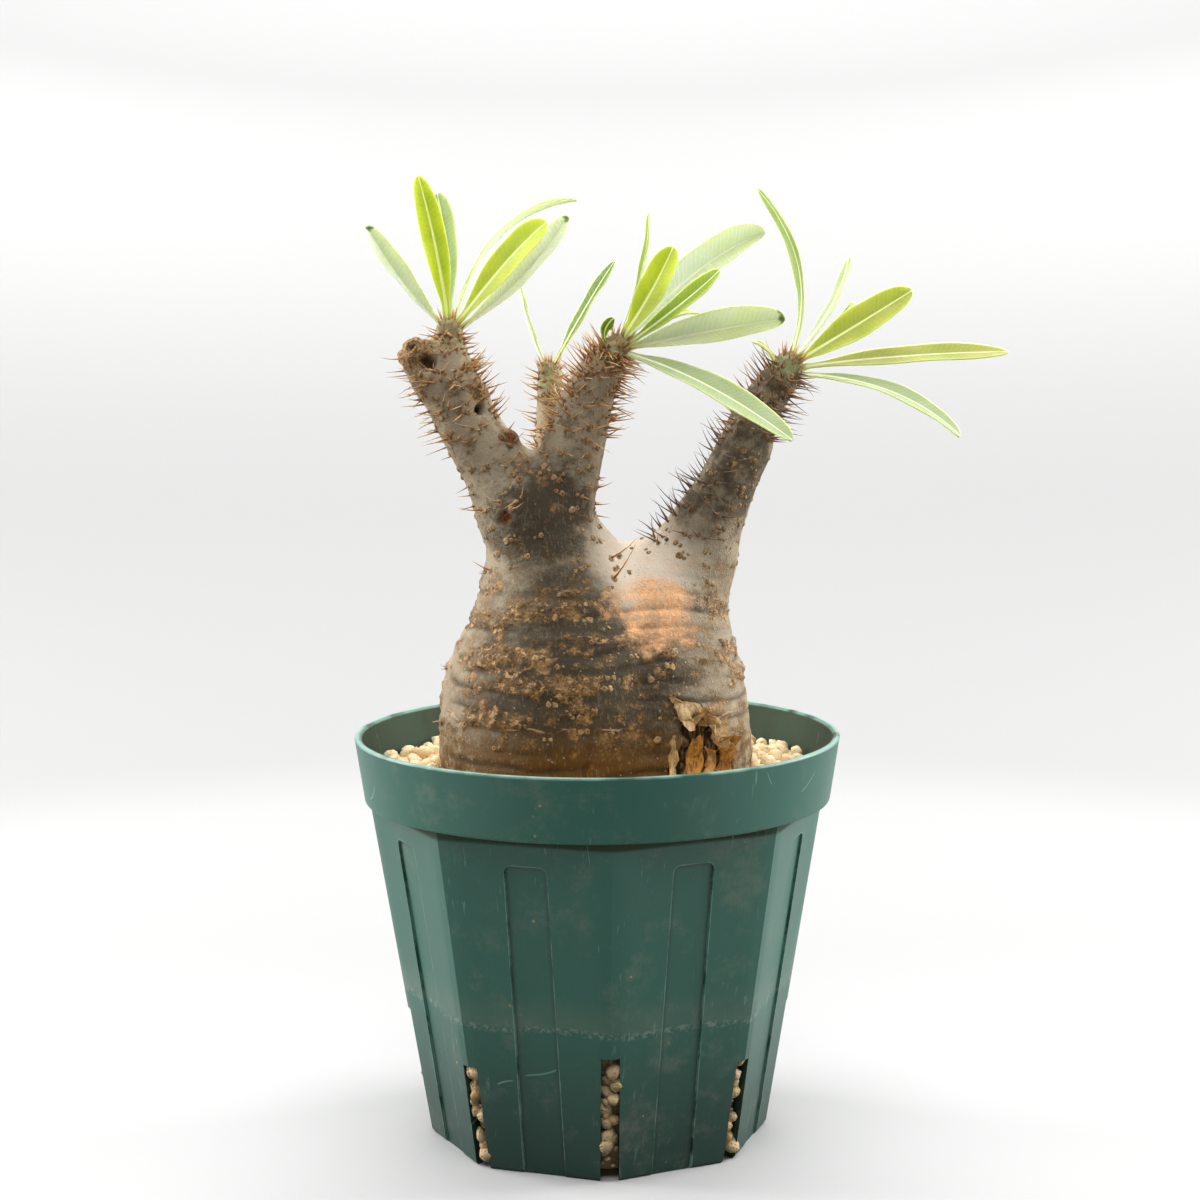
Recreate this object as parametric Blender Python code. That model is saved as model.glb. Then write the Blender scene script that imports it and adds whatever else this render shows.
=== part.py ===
"""A potted pachypodium, in metres with +Z up.

A slit-sided nursery pot stands on the plane z = 0 with its axis on the Z axis. It is filled with
pumice grit, and a swollen grey stem with four spiny branches stands in a plain hole in the grit.
Each branch ends in a shoot with its own leaves. The plant's stem, branches, stubs and spines grew
as one piece, so they are one solid. Each leaf is a solid of its own, seated close to its shoot.
"""

import math
import random

import bmesh
import bpy
import numpy as np
from mathutils import Matrix, Vector
from mathutils.bvhtree import BVHTree

MM = 0.001
SEAT_GAP = 0.3 * MM

# Pot
POT_HEIGHT = 88.2 * MM
RIM_RADIUS = 52.5 * MM
BAND_HEIGHT = 13.9 * MM
BAND_FOOT_RADIUS = 50.5 * MM
RIM_WALL = 1.5 * MM
BODY_SIDES = 8
BODY_TOP_CORNER_RADIUS = 49.8 * MM
BODY_FOOT_CORNER_RADIUS = 37.6 * MM
BODY_TURN = math.radians(3.3)
CORNER_SOFTENING = 0.3 * MM
EDGE_ROUNDING = 0.4 * MM
FOOT_ROUNDING = 0.8 * MM
MIDDLE_RING_SHARE = 0.5
BAND_INNER_STEP = 0.4 * MM
INNER_LEDGE_RISE = 2.6 * MM
INNER_LEDGE_DROP = 1.0 * MM
BODY_WALL = 1.9 * MM
FLOOR_THICKNESS = 1.8 * MM
COLUMNS_PER_SIDE = 8
PANEL_WIDTH = 9.2 * MM
PANEL_DEPTH = 0.9 * MM
PANEL_TOP = 67.5 * MM
PANEL_CORNER = 1.5 * MM
PANEL_CORNER_STEPS = 3
PANEL_CUTTER_THICKNESS = 9.0 * MM
SLIT_WIDTH = 3.9 * MM
SLIT_LONG_TOP = 27.6 * MM
SLIT_SHORT_TOP = 22.8 * MM
SLIT_INNER_RADIUS = 29.0 * MM
CUTTER_REACH = 60.0 * MM
CUTTER_BELOW = 2.0 * MM
POT_SHARP_ANGLE = math.radians(25)

# Grit
GRIT_LEVEL = 80.6 * MM
GRAIN_RADIUS = 2.5 * MM
GRAIN_RELIEF = 1.7 * MM
GRAIN_SPACING = 4.1 * MM
GRIT_COLUMNS_PER_SIDE = 10
GRIT_RINGS = 7
HOLE_GAP = 0.5 * MM
SLIT_GRAIN_RADIUS = 1.5 * MM
SLIT_GRAIN_STEP = 3.9 * MM
SLIT_GRAIN_OUT = -0.2 * MM
SLIT_FIRST_GRAIN = 0.55
GRIT_SEED = 5
GRAIN_TRIES = 4000
GRIT_WALL_GAP = 0.4 * MM
GRIT_LEDGE_GAP = 0.8 * MM
HOLE_SEARCH_START = 15.0 * MM
HOLE_SEARCH_END = 45.0 * MM
HOLE_SEARCH_STEP = 0.1 * MM
HOLE_SEARCH_HEIGHTS = 5
GRIT_SHARP_ANGLE = math.radians(30)

# Limbs of the plant: a chain of round stations, each x, y, z and radius in millimetres
COLUMN = [
    (-6.6, -1.0, 58.0, 26.0),
    (-6.7, -1.0, 75.5, 26.9),
    (-6.8, -1.0, 86.6, 27.4),
    (-6.8, -1.0, 95.4, 26.3),
    (-6.5, -1.0, 104.1, 22.6),
    (-7.3, -1.0, 112.8, 19.0),
    (-8.8, -1.5, 121.6, 15.4),
    (-11.0, -2.0, 129.2, 12.3),
    (-13.3, -2.0, 136.0, 11.3),
]
SHOULDER = [
    (7.9, 1.0, 58.0, 23.4),
    (9.2, 1.0, 75.0, 24.2),
    (9.7, 1.0, 86.1, 23.8),
    (9.9, 1.0, 94.9, 22.5),
    (10.8, 2.0, 103.6, 19.5),
    (12.8, 2.5, 112.3, 15.6),
    (16.6, 3.0, 118.8, 12.2),
    (20.6, 3.0, 125.4, 9.8),
    (23.6, 2.5, 132.3, 8.0),
    (26.8, 2.0, 138.8, 6.5),
    (29.7, 1.5, 144.8, 6.0),
    (32.2, 1.0, 150.3, 5.7),
    (33.6, 0.5, 155.0, 5.2),
    (36.0, 0.0, 159.5, 4.5),
    (39.1, -0.5, 164.0, 4.0),
    (41.2, -1.0, 167.4, 3.1),
]
SADDLE = [
    (-2.0, 3.0, 116.0, 11.0),
    (7.0, 3.5, 119.8, 9.2),
    (14.0, 3.0, 119.8, 10.0),
]
LEFT_BRANCH = [
    (-13.3, -2.0, 136.0, 11.3),
    (-17.4, -2.0, 140.8, 8.9),
    (-21.6, -2.0, 146.2, 7.2),
    (-25.8, -2.0, 152.8, 6.6),
    (-29.4, -2.0, 160.0, 6.3),
    (-32.0, -2.0, 165.6, 5.7),
    (-32.4, -2.0, 167.4, 5.0),
]
LEFT_SHOOT = [
    (-31.2, -2.0, 167.0, 4.0),
    (-31.0, -2.0, 171.5, 3.2),
    (-31.0, -2.0, 175.0, 2.8),
]
CUT_STUB = [
    (-33.8, -2.4, 164.4, 4.8),
    (-36.2, -3.2, 167.8, 4.0),
    (-37.7, -3.8, 169.9, 3.6),
]
CENTRE_BRANCH = [
    (-11.8, -3.0, 135.8, 9.8),
    (-8.4, -4.0, 141.4, 8.3),
    (-5.8, -5.0, 147.3, 6.9),
    (-4.0, -6.0, 153.7, 6.3),
    (-1.6, -7.0, 160.5, 5.5),
    (0.8, -8.0, 165.8, 4.6),
    (3.1, -8.5, 169.4, 3.6),
    (4.6, -9.0, 171.6, 2.9),
]
BACK_BRANCH = [
    (-11.0, 2.0, 137.5, 7.6),
    (-10.2, 7.0, 144.6, 4.2),
    (-10.0, 10.0, 150.9, 3.2),
    (-10.0, 12.0, 158.5, 2.8),
    (-10.0, 13.0, 165.6, 2.3),
]
DEAD_BUD = [
    (-18.6, -4.6, 148.8, 2.2),
    (-18.2, -5.2, 152.2, 1.6),
]
SIDE_KNOB = [
    (-25.6, -3.6, 161.0, 1.9),
    (-24.6, -4.2, 162.6, 1.5),
]
LIMBS = [
    COLUMN,
    SHOULDER,
    SADDLE,
    LEFT_BRANCH,
    LEFT_SHOOT,
    CUT_STUB,
    CENTRE_BRANCH,
    BACK_BRANCH,
    DEAD_BUD,
    SIDE_KNOB,
]
STATION_STEPS = 6
FORK_BLEND = 1.1 * MM
SKIN_VOXEL = 1.7 * MM
SKIN_SHARE_KEPT = 0.2
STEM_FOOT = 65.5 * MM
SETTLE_ROUNDS = 5
SLOPE_STEP = 0.05 * MM
SMALLEST_SLOPE = 0.2
SMALLEST_SUM = 1e-300
STEM_SHARP_ANGLE = math.radians(50)

# Spines: name of the limb, first and last share of its length, number of pairs, length in millimetres
SPINE_SEED = 11
SPINE_BANDS = [
    (LEFT_BRANCH, 0.15, 0.50, 7, 2.4),
    (LEFT_BRANCH, 0.50, 0.98, 16, 4.6),
    (LEFT_SHOOT, 0.25, 0.70, 4, 4.0),
    (CENTRE_BRANCH, 0.20, 0.55, 9, 3.2),
    (CENTRE_BRANCH, 0.55, 0.90, 15, 4.6),
    (BACK_BRANCH, 0.40, 0.85, 8, 3.6),
    (SHOULDER, 0.58, 0.78, 15, 5.6),
    (SHOULDER, 0.78, 0.94, 15, 5.4),
]
NUB_BANDS = [
    (COLUMN, 0.24, 0.96, 18, 1.1),
    (SHOULDER, 0.22, 0.56, 12, 1.1),
]
SPINE_ROOT_RADIUS = 0.42 * MM
NUB_ROOT_RADIUS = 0.85 * MM
SPINE_SINK = 0.9 * MM
SPINE_RAY_START = 40.0 * MM
PAIR_HALF_GAP = 0.35 * MM
SPINE_SPREAD = math.radians(24)
SPINE_WANDER = math.radians(17)
SPINE_LIFT = (-0.1, 0.35)
SPINE_LENGTH_RANGE = (0.75, 1.2)
SPINE_TEST_SHARES = (0.2, 0.6, 1.0)
GOLDEN_ANGLE = math.radians(137.508)

# Leaves in millimetres: name, limb that carries it, how far below the limb's end its stalk is aimed,
# the middle and the tip of its midrib, its full width, and the way its upper side faces
LEAVES = [
    ("leaf_left_1", LEFT_SHOOT, 0.6, (-41.4, -6.0, 187.1), (-47.1, -11.0, 197.0), 7.0, (0.55, 0.62, 0.55)),
    ("leaf_left_2", LEFT_SHOOT, 0.0, (-33.7, -3.5, 193.1), (-37.1, -4.0, 207.5), 5.6, (0.3, -0.9, 0.1)),
    ("leaf_left_3", LEFT_SHOOT, 0.4, (-31.8, 3.5, 192.5), (-33.6, 7.0, 204.2), 6.2, (-0.3, -0.8, 0.3)),
    ("leaf_left_4", LEFT_SHOOT, 2.4, (-20.4, 7.0, 195.0), (-3.8, 13.0, 202.7), 6.0, (-0.5, 0.1, 0.85)),
    ("leaf_left_5", LEFT_SHOOT, 1.0, (-18.3, -6.5, 189.5), (-9.8, -9.0, 197.5), 8.2, (-0.35, -0.75, 0.55)),
    ("leaf_left_6", LEFT_SHOOT, 1.4, (-15.3, -0.5, 186.7), (-5.7, -2.0, 199.0), 7.2, (-0.3, 0.55, 0.75)),
    ("leaf_back_1", BACK_BRANCH, 0.6, (-14.4, 12.0, 176.5), (-16.4, 9.0, 185.4), 3.0, (0.93, -0.1, 0.35)),
    ("leaf_back_2", BACK_BRANCH, 0.6, (-1.8, 13.0, 179.5), (4.5, 11.0, 189.4), 4.8, (-0.75, -0.45, 0.5)),
    ("leaf_centre_1", CENTRE_BRANCH, -0.4, (10.3, -5.5, 188.1), (11.6, -2.5, 199.6), 4.0, (-1, -0.2, 0.15)),
    ("leaf_centre_2", CENTRE_BRANCH, 0.9, (12.0, -12.6, 183.5), (16.4, -14.0, 192.4), 6.8, (-0.3, -0.8, 0.4)),
    ("leaf_centre_3", CENTRE_BRANCH, 2.9, (18.2, -13.5, 180.6), (25.9, -17.0, 187.4), 5.8, (-0.3, -0.6, 0.7)),
    ("leaf_centre_4", CENTRE_BRANCH, 2.2, (22.2, -3.4, 188.0), (36.2, 2.0, 195.3), 9.4, (-0.25, 0.75, 0.6)),
    ("leaf_centre_5", CENTRE_BRANCH, 1.0, (24.4, -11.0, 175.2), (39.5, -13.0, 177.6), 9.0, (0, 0.75, 0.65)),
    ("leaf_centre_6", CENTRE_BRANCH, 0.9, (23.1, -21.0, 163.8), (39.5, -33.0, 153.4), 8.2, (0.3, -0.6, 0.8)),
    ("leaf_centre_7", CENTRE_BRANCH, 1.4, (1.8, -11.0, 175.1), (3.9, -12.0, 177.8), 2.8, (0.6, -0.6, 0.5)),
    ("leaf_centre_8", CENTRE_BRANCH, 3.0, (16.2, -5.4, 177.6), (22.0, -2.5, 178.3), 2.2, (0, -0.3, 0.95)),
    ("leaf_right_1", SHOULDER, 0.2, (43.6, 0.5, 187.9), (35.0, 4.0, 204.8), 4.4, (-0.9, -0.35, -0.1)),
    ("leaf_right_2", SHOULDER, 0.4, (51.2, 6.5, 179.9), (55.3, 12.0, 190.2), 3.6, (-0.7, -0.35, 0.5)),
    ("leaf_right_3", SHOULDER, 2.0, (50.2, 4.2, 173.4), (55.6, 4.6, 180.6), 3.6, (-0.5, -0.3, 0.8)),
    ("leaf_right_4", SHOULDER, 0.8, (55.2, -5.0, 175.7), (66.5, -9.0, 183.0), 8.2, (-0.4, -0.8, 0.5)),
    ("leaf_right_5", SHOULDER, 1.2, (65.9, -1.5, 169.0), (87.6, -2.5, 169.8), 6.4, (0, -0.55, 0.83)),
    ("leaf_right_6", SHOULDER, 2.4, (62.0, -8.0, 161.9), (76.3, -12.0, 152.6), 6.6, (0.4, -0.45, 0.8)),
    ("leaf_right_7", SHOULDER, 3.2, (36.2, -2.0, 170.9), (33.4, -2.5, 172.4), 2.0, (0.3, -0.4, 0.8)),
]

# Blade
BLADE_THICKNESS = 0.7 * MM
BLADE_FOLD = math.radians(14)
STALK_HALF_WIDTH = 0.75 * MM
STALK_RAY_START = 12.0 * MM
BLADE_SHARES = [0.0, 0.07, 0.16, 0.28, 0.42, 0.56, 0.70, 0.82, 0.91, 0.97, 1.0]
BLADE_SAMPLES = 24
BLADE_WIDEST_POWER = 1.2
BLADE_FULLNESS_POWER = 0.8
STALK_TAPER = 0.7
BLADE_SHARP_ANGLE = math.radians(40)
LEAF_CLEARANCE = 1.0 * MM


def clear_scene():
    for old in list(bpy.data.objects):
        bpy.data.objects.remove(old, do_unlink=True)


def finish_material(name, colour, roughness):
    made = bpy.data.materials.new(name)
    made.use_nodes = True
    shader = made.node_tree.nodes["Principled BSDF"]
    shader.inputs["Base Color"].default_value = (*colour, 1.0)
    shader.inputs["Roughness"].default_value = roughness
    shader.inputs["Metallic"].default_value = 0.0
    return made


def mesh_object(name, points, faces, material=None):
    mesh = bpy.data.meshes.new(name)
    mesh.from_pydata([tuple(p) for p in points], [], [tuple(f) for f in faces])
    mesh.update()
    made = bpy.data.objects.new(name, mesh)
    bpy.context.scene.collection.objects.link(made)
    if material:
        mesh.materials.append(material)
    return made


def apply_modifiers(made):
    """Keeps the shape that the modifiers give and drops the modifiers."""
    graph = bpy.context.evaluated_depsgraph_get()
    shaped = bpy.data.meshes.new_from_object(made.evaluated_get(graph))
    made.modifiers.clear()
    made.data = shaped


def join_all(body, pieces, operation="UNION", solver="MANIFOLD"):
    """One Boolean on a collection, after which the pieces are removed."""
    group = bpy.data.collections.new(body.name + "_pieces")
    bpy.context.scene.collection.children.link(group)
    for piece in pieces:
        bpy.context.scene.collection.objects.unlink(piece)
        group.objects.link(piece)
        piece.hide_render = True
        piece.display_type = "WIRE"
    joined = body.modifiers.new("joined", "BOOLEAN")
    joined.operation = operation
    joined.operand_type = "COLLECTION"
    joined.collection = group
    joined.solver = solver
    apply_modifiers(body)
    for piece in pieces:
        bpy.data.objects.remove(piece, do_unlink=True)
    bpy.data.collections.remove(group)


def shade(made, sharp_angle):
    made.data.shade_smooth()
    made.data.set_sharp_from_angle(angle=sharp_angle)


# Pot


def side_angle():
    return 2 * math.pi / BODY_SIDES


def body_radius(corner_radius, off_corner):
    """Radius of the octagon in a direction that lies this angle away from its front corner."""
    half = side_angle() / 2
    off_corner = off_corner % side_angle()
    radius = corner_radius * math.cos(half) / math.cos(off_corner - half)
    at_corner = min(off_corner, side_angle() - off_corner) < half * 0.01
    return radius - CORNER_SOFTENING if at_corner else radius


def corner_radius_at(height):
    """Corner radius of the tapered body's outside at this height."""
    share = height / (POT_HEIGHT - BAND_HEIGHT)
    return BODY_FOOT_CORNER_RADIUS + share * (BODY_TOP_CORNER_RADIUS - BODY_FOOT_CORNER_RADIUS)


def column_angles(per_side):
    count = BODY_SIDES * per_side
    front = -math.pi / 2
    return [front + BODY_TURN + 2 * math.pi * i / count for i in range(count)]


def octagon_ring(corner_radius, height, per_side):
    ring = []
    for i, angle in enumerate(column_angles(per_side)):
        radius = body_radius(corner_radius, i * side_angle() / per_side)
        ring.append(Vector((radius * math.cos(angle), radius * math.sin(angle), height)))
    return ring


def round_ring(radius, height, per_side):
    return [
        Vector((radius * math.cos(angle), radius * math.sin(angle), height))
        for angle in column_angles(per_side)
    ]


def skin_rings(rings):
    """Closed skin over rings that run from the middle of the underside, out, up and in again."""
    count = len(rings[0])
    points = [point for ring in rings for point in ring]
    faces = []
    for row in range(len(rings) - 1):
        for i in range(count):
            a = row * count + i
            b = row * count + (i + 1) % count
            faces.append((a, b, b + count, a + count))
    first = len(points)
    points.append(sum(rings[0], Vector()) / count)
    points.append(sum(rings[-1], Vector()) / count)
    last_row = (len(rings) - 1) * count
    for i in range(count):
        j = (i + 1) % count
        faces.append((first, j, i))
        faces.append((first + 1, last_row + i, last_row + j))
    return points, faces


def box_cutter(name, centre, size, turn):
    """A box of this size, moved to the centre and then turned about Z."""
    shape = bmesh.new()
    bmesh.ops.create_cube(shape, size=1.0, matrix=Matrix.Diagonal((*size, 1.0)))
    mesh = bpy.data.meshes.new(name)
    shape.to_mesh(mesh)
    shape.free()
    made = bpy.data.objects.new(name, mesh)
    bpy.context.scene.collection.objects.link(made)
    mesh.transform(Matrix.Rotation(turn, 4, "Z") @ Matrix.Translation(centre))
    return made


def round_top_corners(made, width):
    """Bevels the two upper edges that run through the panel."""
    shape = bmesh.new()
    shape.from_mesh(made.data)
    top = max(v.co.z for v in shape.verts)
    edges = []
    for edge in shape.edges:
        a, b = edge.verts
        runs_through = abs(a.co.y - b.co.y) < width * 0.01
        if runs_through and min(a.co.z, b.co.z) > top - width:
            edges.append(edge)
    bmesh.ops.bevel(shape, geom=edges, offset=width, segments=PANEL_CORNER_STEPS, affect="EDGES")
    shape.to_mesh(made.data)
    shape.free()


def slit_cutters():
    cutters = []
    for i in range(BODY_SIDES):
        top = SLIT_LONG_TOP if i % 2 == 0 else SLIT_SHORT_TOP
        turn = -math.pi / 2 + BODY_TURN + i * side_angle()
        reach = CUTTER_REACH - SLIT_INNER_RADIUS
        height = top + CUTTER_BELOW
        centre = (SLIT_INNER_RADIUS + reach / 2, 0.0, top - height / 2)
        cutters.append(box_cutter(f"slit_cutter_{i}", centre, (reach, SLIT_WIDTH, height), turn))
    return cutters


def panel_cutters():
    """Each lies along the sloping wall and reaches PANEL_DEPTH into it."""
    half = side_angle() / 2
    foot = corner_radius_at(0.0) * math.cos(half)
    top = corner_radius_at(PANEL_TOP) * math.cos(half)
    lean = math.atan2(top - foot, PANEL_TOP)
    length = PANEL_TOP / math.cos(lean)
    thickness = PANEL_CUTTER_THICKNESS
    cutters = []
    for i in range(BODY_SIDES):
        turn = -math.pi / 2 + BODY_TURN + half + i * side_angle()
        middle = (foot + top) / 2 + (thickness / 2 - PANEL_DEPTH) / math.cos(lean)
        size = (thickness, PANEL_WIDTH, length)
        made = box_cutter(f"panel_cutter_{i}", (0.0, 0.0, 0.0), size, 0.0)
        round_top_corners(made, PANEL_CORNER)
        lower_end = min(v.co.z for v in made.data.vertices)
        for vertex in made.data.vertices:
            if vertex.co.z < lower_end + PANEL_CORNER:
                vertex.co.z -= 2 * CUTTER_BELOW
        placing = (
            Matrix.Rotation(turn, 4, "Z")
            @ Matrix.Translation((middle, 0.0, PANEL_TOP / 2))
            @ Matrix.Rotation(lean, 4, "Y")
        )
        made.data.transform(placing)
        cutters.append(made)
    return cutters


def make_pot(material):
    band_foot = POT_HEIGHT - BAND_HEIGHT
    wall_foot = BODY_FOOT_CORNER_RADIUS - BODY_WALL
    per_side = COLUMNS_PER_SIDE
    inner_top = corner_radius_at(band_foot) - BODY_WALL
    rings = [
        octagon_ring(BODY_FOOT_CORNER_RADIUS * MIDDLE_RING_SHARE, 0.0, per_side),
        octagon_ring(BODY_FOOT_CORNER_RADIUS - EDGE_ROUNDING, 0.0, per_side),
        octagon_ring(BODY_FOOT_CORNER_RADIUS, FOOT_ROUNDING, per_side),
        octagon_ring(BODY_TOP_CORNER_RADIUS, band_foot, per_side),
        round_ring(BAND_FOOT_RADIUS - EDGE_ROUNDING, band_foot, per_side),
        round_ring(BAND_FOOT_RADIUS, band_foot + EDGE_ROUNDING, per_side),
        round_ring(RIM_RADIUS, POT_HEIGHT - EDGE_ROUNDING, per_side),
        round_ring(RIM_RADIUS - EDGE_ROUNDING, POT_HEIGHT, per_side),
        round_ring(RIM_RADIUS - RIM_WALL, POT_HEIGHT, per_side),
        round_ring(BAND_FOOT_RADIUS - RIM_WALL - BAND_INNER_STEP, band_foot + INNER_LEDGE_RISE, per_side),
        octagon_ring(inner_top, band_foot - INNER_LEDGE_DROP, per_side),
        octagon_ring(wall_foot, FLOOR_THICKNESS, per_side),
        octagon_ring(wall_foot * MIDDLE_RING_SHARE, FLOOR_THICKNESS, per_side),
    ]
    points, faces = skin_rings(rings)
    pot = mesh_object("pot", points, faces, material)
    join_all(pot, slit_cutters() + panel_cutters(), "DIFFERENCE", "EXACT")
    shade(pot, POT_SHARP_ANGLE)
    return pot


# Form of the plant


def smooth_chain(stations):
    """Points and radii in metres along a smooth curve through the stations."""
    rows = np.array(stations) * MM
    ends = np.vstack([2 * rows[0] - rows[1], rows, 2 * rows[-1] - rows[-2]])
    chain = []
    for i in range(1, len(ends) - 2):
        before, here, after, beyond = ends[i - 1 : i + 3]
        for t in np.arange(STATION_STEPS) / STATION_STEPS:
            linear = (after - before) * t
            square = (2 * before - 5 * here + 4 * after - beyond) * t**2
            cube = (3 * here - before - 3 * after + beyond) * t**3
            chain.append(0.5 * (2 * here + linear + square + cube))
    chain.append(rows[-1])
    return np.array(chain)


def chain_distance(points, chain):
    """Distance from each point to the skin of one limb, negative inside."""
    nearest = np.full(len(points), np.inf)
    for start, end in zip(chain[:-1], chain[1:]):
        along = end[:3] - start[:3]
        share = ((points - start[:3]) @ along) / (along @ along)
        share = np.clip(share, 0.0, 1.0)
        axis_points = start[:3] + share[:, None] * along
        radius = start[3] + share * (end[3] - start[3])
        distance = np.linalg.norm(points - axis_points, axis=1) - radius
        nearest = np.minimum(nearest, distance)
    return nearest


def plant_distance(points, chains):
    """Distance to the skin of the whole plant, with soft webs where limbs meet."""
    total = np.zeros(len(points))
    for chain in chains:
        total += np.exp(-chain_distance(points, chain) / FORK_BLEND)
    return -FORK_BLEND * np.log(np.maximum(total, SMALLEST_SUM))


def settle_on_skin(points, chains):
    """Moves points along the distance's slope until they lie on the plant's skin."""
    for _ in range(SETTLE_ROUNDS):
        here = plant_distance(points, chains)
        slope = np.empty_like(points)
        for axis in range(3):
            aside = points.copy()
            aside[:, axis] += SLOPE_STEP
            slope[:, axis] = (plant_distance(aside, chains) - here) / SLOPE_STEP
        length = np.maximum(np.linalg.norm(slope, axis=1), SMALLEST_SLOPE)
        points = points - slope * (here / length**2)[:, None]
    return points


def rough_body(chains):
    """Overlapping balls along every limb, grown into one skin by a voxel remesh."""
    shape = bmesh.new()
    for chain in chains:
        for x, y, z, radius in chain:
            place = Matrix.Translation((x, y, z))
            bmesh.ops.create_icosphere(shape, subdivisions=2, radius=radius, matrix=place)
    mesh = bpy.data.meshes.new("caudex")
    shape.to_mesh(mesh)
    shape.free()
    body = bpy.data.objects.new("caudex", mesh)
    bpy.context.scene.collection.objects.link(body)
    grown = body.modifiers.new("grown together", "REMESH")
    grown.mode = "VOXEL"
    grown.voxel_size = SKIN_VOXEL
    apply_modifiers(body)
    return body


def make_bare_stem(chains, material):
    body = rough_body(chains)
    count = len(body.data.vertices)
    points = np.empty(count * 3)
    body.data.vertices.foreach_get("co", points)
    points = settle_on_skin(points.reshape(-1, 3), chains)
    points[:, 2] = np.maximum(points[:, 2], STEM_FOOT)
    body.data.vertices.foreach_set("co", points.ravel())
    body.data.update()
    fewer = body.modifiers.new("fewer faces", "DECIMATE")
    fewer.ratio = SKIN_SHARE_KEPT
    apply_modifiers(body)
    body.data.materials.clear()
    body.data.materials.append(material)
    return body


def tree_of(made):
    shape = bmesh.new()
    shape.from_mesh(made.data)
    tree = BVHTree.FromBMesh(shape)
    shape.free()
    return tree


def pointed_stick(root, direction, length, radius, turn):
    """A three-sided spine whose root is sunk below the skin."""
    direction = direction.normalized()
    aside = direction.orthogonal().normalized()
    across = direction.cross(aside)
    foot = root - direction * SPINE_SINK
    points = []
    for i in range(3):
        angle = turn + 2 * math.pi * i / 3
        points.append(foot + (aside * math.cos(angle) + across * math.sin(angle)) * radius)
    points.append(root + direction * length)
    faces = [(2, 1, 0), (0, 1, 3), (1, 2, 3), (2, 0, 3)]
    return mesh_object("spine", points, faces)


def place_on_chain(chain, share):
    """Point and direction at this share of a chain's length, as vectors."""
    place = share * (len(chain) - 1)
    i = min(int(place), len(chain) - 2)
    part = place - i
    start = Vector(chain[i][:3])
    end = Vector(chain[i + 1][:3])
    return start.lerp(end, part), (end - start).normalized()


def near_a_leaf(root, tip, leaves):
    """Whether a spine would come closer to a blade than LEAF_CLEARANCE."""
    for share in SPINE_TEST_SHARES:
        point = root.lerp(tip, share)
        for leaf in leaves:
            for centre, half_width in leaf:
                if (point - centre).length < half_width + LEAF_CLEARANCE:
                    return True
    return False


def spine_pairs(tree, bands, radius, leaves, rng):
    """Pairs of spines set round each limb in a spiral, on the skin that a ray to its axis meets."""
    sticks = []
    for stations, first, last, pairs, length in bands:
        chain = smooth_chain(stations)
        for i in range(pairs):
            share = first + (last - first) * (i + 0.5) / pairs
            centre, axis = place_on_chain(chain, share)
            aside = axis.orthogonal().normalized()
            angle = i * GOLDEN_ANGLE + rng.uniform(-SPINE_WANDER, SPINE_WANDER)
            outward = Matrix.Rotation(angle, 3, axis) @ aside
            hit, normal, _, _ = tree.ray_cast(centre + outward * SPINE_RAY_START, -outward)
            if hit is None:
                continue
            for side in (-1, 1):
                spread = Matrix.Rotation(side * SPINE_SPREAD, 3, axis)
                lift = axis * rng.uniform(*SPINE_LIFT)
                direction = (spread @ (normal + outward) + lift).normalized()
                own_length = length * MM * rng.uniform(*SPINE_LENGTH_RANGE)
                root = hit + axis.cross(outward) * side * PAIR_HALF_GAP
                if not near_a_leaf(root, root + direction * own_length, leaves):
                    sticks.append(pointed_stick(root, direction, own_length, radius, angle))
    return sticks


def grow_spines(body, tree, leaves):
    rng = random.Random(SPINE_SEED)
    sticks = spine_pairs(tree, SPINE_BANDS, SPINE_ROOT_RADIUS, leaves, rng)
    sticks += spine_pairs(tree, NUB_BANDS, NUB_ROOT_RADIUS, leaves, rng)
    join_all(body, sticks)
    shade(body, STEM_SHARP_ANGLE)


# Leaves


def blade_half_width(share, width):
    """Half width of the outline: a narrow stalk, the widest part past the middle, a rounded tip."""
    swell = max(0.0, math.sin(math.pi * share**BLADE_WIDEST_POWER)) ** BLADE_FULLNESS_POWER
    stalk = STALK_HALF_WIDTH * (1.0 - STALK_TAPER * share)
    return max(stalk, width / 2 * swell)


def curve_point(base, bend, tip, share):
    return base * (1 - share) ** 2 + bend * 2 * share * (1 - share) + tip * share**2


def curve_direction(base, bend, tip, share):
    return ((bend - base) * (1 - share) + (tip - bend) * share).normalized()


def bend_through(base, middle, tip):
    """Control point of the curve that passes the middle half way."""
    return middle * 2 - (base + tip) / 2


def seat_on_shoot(tree, heart, aim, aside, face):
    """Foot of the stalk: its whole end face lies SEAT_GAP clear of the shoot."""
    far = heart + aim * STALK_RAY_START
    reach = 0.0
    for across in (-1, 0, 1):
        for up in (-1, 1):
            corner = aside * across * STALK_HALF_WIDTH + face * up * BLADE_THICKNESS / 2
            hit, _, _, _ = tree.ray_cast(far + corner, -aim)
            if hit is not None:
                reach = max(reach, (hit - heart - corner).dot(aim))
    return heart + aim * (reach + SEAT_GAP)


def leaf_curve(tree, limb, below_end, middle, tip, face):
    """Foot, bend and tip of a leaf's midrib in metres."""
    chain = smooth_chain(limb)
    end = Vector(chain[-1][:3])
    axis = (end - Vector(chain[-2][:3])).normalized()
    heart = end - axis * below_end * MM
    middle = Vector(middle) * MM
    tip = Vector(tip) * MM
    aim = (bend_through(heart, middle, tip) - heart).normalized()
    aside = aim.cross(Vector(face)).normalized()
    foot = seat_on_shoot(tree, heart, aim, aside, aside.cross(aim))
    return foot, bend_through(foot, middle, tip), tip


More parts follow.
